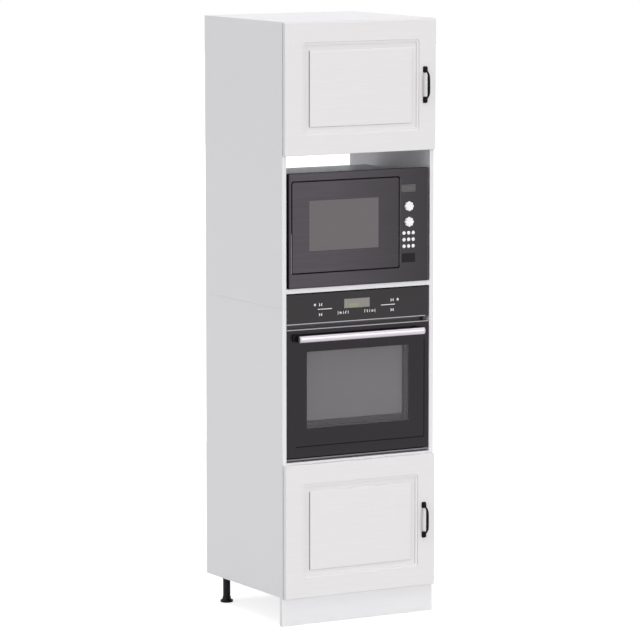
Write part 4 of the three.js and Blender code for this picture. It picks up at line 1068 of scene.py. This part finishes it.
def add_handle():
    low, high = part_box("oven_handle_bar")
    y, z = (low.y + high.y) / 2, (low.z + high.z) / 2
    half_depth, half_height = (high.y - low.y) / 2, (high.z - low.z) / 2
    bar = oval_rod("handle_tube", low.x, high.x, y, z, half_depth, half_height, 0.5 * MM)
    piece("handle_tube", bar, SATIN_STEEL, "oven_door", ["oven_handle_bar"])
    for word, side, end in (("left", -1, low.x), ("right", 1, high.x)):
        node = f"oven_handle_post_{word}"
        post_low, post_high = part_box(node)
        cap = [end + side * 0.3 * MM, end + side * 3.3 * MM]
        lid = oval_rod(f"handle_cap_{word}", min(cap), max(cap), y, z, half_depth, half_height, 1.4 * MM)
        piece(f"handle_cap_{word}", lid, SATIN_STEEL, "oven_door")
        arm_x = sorted([cap[1] - side * 1.2 * MM, cap[1] - side * 18 * MM])
        arm = rounded_plate("arm", vec(arm_x[0], y, post_low.z), vec(arm_x[1], post_high.y, post_high.z),
                            "y", 3, 0.5, 3, 8)
        bed = oval_rod("bed", low.x - 9 * MM, high.x + 9 * MM, y, z,
                       half_depth + 0.3 * MM, half_height + 0.3 * MM, 0.1 * MM)
        arm = carve(arm, [bed], 35)
        foot = rounded_plate("foot", vec(post_low.x, post_high.y - 5 * MM, post_low.z), post_high,
                             "y", 5, 1.6, 4, 8)
        group(f"handle_post_{word}", [arm, foot], BLACK_PLASTIC, "oven_door", [node])


def strip(name, x0, x1, z, front, body):
    """A bright strip along the oven's width, centred on the height z."""
    mesh = rounded_plate(name, vec(x0, front, z - TRIM_HEIGHT / 2),
                         vec(x1, front + 1 * MM, z + TRIM_HEIGHT / 2), "y", 0.3, 0.3)
    piece(name, mesh, TRIM_STEEL, body)


def add_oven_trims():
    fascia_low, fascia_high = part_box("oven_control_panel")
    door_low, door_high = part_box("oven_door_glass")
    side, half = 1 * MM, TRIM_HEIGHT / 2
    strip("oven_fascia_trim", fascia_low.x + side, fascia_high.x - 14 * MM, fascia_low.z + half,
          fascia_low.y - TRIM_PROUD, "housing")
    strip("oven_door_trim", door_low.x + side, door_high.x - side, door_high.z - half,
          door_low.y - TRIM_PROUD, "oven_door")


INK_HEIGHT = 0.06 * MM  # the print stands this far off the glass
SYMBOLS_MIDDLE = -6.5  # mm: the line that the two groups of marks mirror about


def ink_plate(outline_points, front):
    """A flat print with the outline given as (x, z) points."""
    rings = [[vec(x, y, z) for x, z in outline_points] for y in (front + 0.02 * MM, front - INK_HEIGHT)]
    return stack("ink", rings, sharp=30)


def ink_bar(x, z, width, height, front, lean=0.0):
    points = outline(-width / 2, width / 2, -height / 2, height / 2, min(width, height) * 0.45, 3)
    return ink_plate([(x + px + lean * pz, z + pz) for px, pz in points], front)


def ink_ring(x, z, radius, bore, front, sides=28):
    section = [(bore, 0.02 * MM), (radius, 0.02 * MM), (radius, -INK_HEIGHT), (bore, -INK_HEIGHT)]
    return ring_lathe("ink", [(r, -h) for r, h in section], vec(x, front, z), "y", sides, 30)


def ink_bow(x, z, width, height, front):
    """Two curved strokes, back to back."""
    strokes = []
    for side in (-1, 1):
        outer, inner = [], []
        for n in range(9):
            a = math.radians(-62 + 124 * n / 8)
            middle = x + side * width * 0.60
            outer.append((middle - side * width * 0.50 * math.cos(a), z + height * 0.57 * math.sin(a)))
            inner.append((middle - side * width * 0.26 * math.cos(a), z + height * 0.57 * math.sin(a)))
        strokes.append(ink_plate(outer + inner[::-1] if side > 0 else inner + outer[::-1], front))
    return strokes


def add_oven_symbols():
    """Generic marks of the touch controls, the two sides mirrored."""
    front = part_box("oven_control_panel")[0].y
    marks = []
    for side in (-1, 1):
        def place(out, height):
            return (SYMBOLS_MIDDLE + side * out) * MM, height * MM
        for out, height, radius, bore in ((164, 1104.5, 4.3, 1.2), (63, 1071.5, 4, 1.6)):
            marks.append(ink_ring(*place(out, height), radius * MM, bore * MM, front))
        for height in (1104, 1070):
            marks += ink_bow(*place(142, height), 15 * MM, 10 * MM, front)
        for out, height, width, tall, lean in ((125, 1088.5, 56, 2.6, 0), (73, 1071.5, 2.2, 12, 0),
                                               (52, 1072, 2.2, 10, 0), (43, 1072, 3.4, 10, -0.25),
                                               (33, 1072.5, 2.2, 11, 0)):
            marks.append(ink_bar(*place(out, height), width * MM, tall * MM, front, side * lean))
    group("oven_symbols", marks, WHITE_INK, "housing", sharp=30)


def add_bottom_trim():
    low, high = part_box("oven_bottom_trim")
    lip = rounded_plate("lip", low, vec(high.x, low.y + 3 * MM, high.z), "y", 0.9, 0.9)
    web = box_mesh("web", vec(low.x + 1 * MM, low.y + 1 * MM, low.z + 0.7 * MM),
                   vec(high.x - 1 * MM, high.y, low.z + 2.2 * MM), "z")
    group("oven_foot_trim", [lip, web], DIM_STEEL, "housing", ["oven_bottom_trim"])


def add_rack():
    low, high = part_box("oven_rack")
    z, r = (low.z + high.z) / 2, (high.z - low.z) / 2
    inner_low, inner_high = vec(low.x + r, low.y + r, z), vec(high.x - r, high.y - r, z)
    corner = 12 * MM
    loop_points = [vec(x, y, z) for x, y in
                   outline(inner_low.x, inner_high.x, inner_low.y, inner_high.y, corner, 8)]
    meshes = [closed_wire("frame_wire", loop_points, r)]
    middle = (inner_low.y + inner_high.y) / 2
    for n in range(1, RACK_BARS):
        x = inner_low.x + (inner_high.x - inner_low.x) * n / RACK_BARS
        path = [vec(x, y, z) for y in (inner_low.y, middle, inner_high.y)]
        meshes.append(tube("wire", path, [BAR_RADIUS] * 3, 12))
    group("oven_wire_rack", meshes, NICKEL, "housing", ["oven_rack"], 50)


def closed_wire(name, points, radius, sides=12):
    """A wire bent to a flat closed loop."""
    rings = []
    count = len(points)
    for n, point in enumerate(points):
        ahead = (points[(n + 1) % count] - points[n - 1]).normalized()
        out = ahead.cross(vec(0, 0, 1))
        rings.append([point + radius * (out * math.cos(a) + vec(0, 0, 1) * math.sin(a))
                      for a in circle(sides)])
    return loop(name, rings, 50)


def add_case_screws(node):
    """Screws round the back sheet of a casing."""
    low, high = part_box(node)
    inset, heads = 14 * MM, []
    for x in spaced(low.x + inset, high.x - inset, 170 * MM):
        heads += [cross_screw(vec(x, high.y, z), 4 * MM, -1) for z in (low.z + inset, high.z - inset)]
    group(f"{node}_screws", heads, NICKEL, "housing")


def add_oven_body():
    dress("oven_casing", ZINC, edge=0.3)
    add_case_screws("oven_casing")
    add_case_screws("microwave_case")
    dress("oven_cavity", ENAMEL, edge=0.4)
    add_rack()


# ------------------------------------------------------------------ studio
def add_floor():
    mesh = bpy.data.meshes.new("floor")
    bm = bmesh.new()
    bmesh.ops.create_grid(bm, x_segments=4, y_segments=4, size=30.0)
    bm.to_mesh(mesh)
    bm.free()
    floor = linked("floor", mesh)
    shader = Shader("studio_floor", srgb(206, 206, 206), 0.9)
    shader.set("Specular IOR Level", 0.0)
    shader.vary_color(shader.noise(0.6, 2), 0.004)
    path = shader.node("ShaderNodeLightPath")
    seen = shader.node("ShaderNodeMath", operation="MAXIMUM")
    shader.link(path.outputs["Is Camera Ray"], seen.inputs[0])
    shader.link(path.outputs["Is Glossy Ray"], seen.inputs[1])
    glow = shader.span(seen.outputs[0], 0, 1, 0, FLOOR_GLOW)
    shader.principled.inputs["Emission Color"].default_value = (1, 1, 1, 1)
    shader.link(glow, shader.principled.inputs["Emission Strength"])
    mesh.materials.append(shader.material)


def add_world():
    world = bpy.data.worlds.new("studio")
    bpy.context.scene.world = world
    world.use_nodes = True
    tree = world.node_tree
    background = tree.nodes["Background"]
    background.inputs["Color"].default_value = (1, 1, 1, 1)
    path = tree.nodes.new("ShaderNodeLightPath")
    seen = path.outputs["Is Camera Ray"]
    for ray in ("Is Glossy Ray", "Is Transmission Ray"):
        either = tree.nodes.new("ShaderNodeMath")
        either.operation = "MAXIMUM"
        tree.links.new(seen, either.inputs[0])
        tree.links.new(path.outputs[ray], either.inputs[1])
        seen = either.outputs[0]
    strength = tree.nodes.new("ShaderNodeMapRange")
    strength.inputs["To Min"].default_value = AMBIENT
    strength.inputs["To Max"].default_value = 1.0
    tree.links.new(seen, strength.inputs["Value"])
    tree.links.new(strength.outputs["Result"], background.inputs["Strength"])


def add_lamp(name, direction, spread, strength):
    """A soft far light that shines from the given direction."""
    lamp = bpy.data.lights.new(name, "SUN")
    lamp.angle = math.radians(spread)
    lamp.energy = strength
    lamp.specular_factor = 0.3
    obj = linked(name, lamp)
    obj.location = Vector(direction) * 5
    obj.rotation_euler = Vector(direction).to_track_quat("Z", "Y").to_euler()


CAMERA_PLACE = (-6.8219, -11.9165, 2.7417)
CAMERA_TURN = (82.834, 0.010, -29.756)  # degrees, fitted to the edges in the photograph
CAMERA_LENS = 223.4  # mm, on a sensor 36 mm wide


def add_camera():
    camera = bpy.data.cameras.new("camera")
    camera.sensor_width = 36
    camera.lens = CAMERA_LENS
    camera.clip_end = 200
    obj = linked("camera", camera)
    obj.location = CAMERA_PLACE
    obj.rotation_euler = [math.radians(angle) for angle in CAMERA_TURN]
    bpy.context.scene.camera = obj


AMBIENT = 0.25  # the white world's light on the object, where 1 is what the camera sees
FLOOR_GLOW = 0.72  # lifts the floor to the backdrop's white, for the camera and reflections only

add_camera()
add_world()
add_floor()
add_lamp("key", (0.24, -0.95, 0.20), 20, 1.12)
add_lamp("top", (0.03, -0.05, 0.998), 80, 1.65)
add_lamp("fill", (-0.90, -0.30, 0.30), 60, 1.00)
bpy.context.scene.view_settings.view_transform = "Standard"

add_boards()
add_backs()
add_plinth()
add_feet()
add_panel_doors()
add_microwave_front()
add_microwave_body()
add_fascia()
add_oven_door()
add_oven_trims()
add_oven_symbols()
add_door_shade_lines()
add_handle()
add_bottom_trim()
add_oven_body()
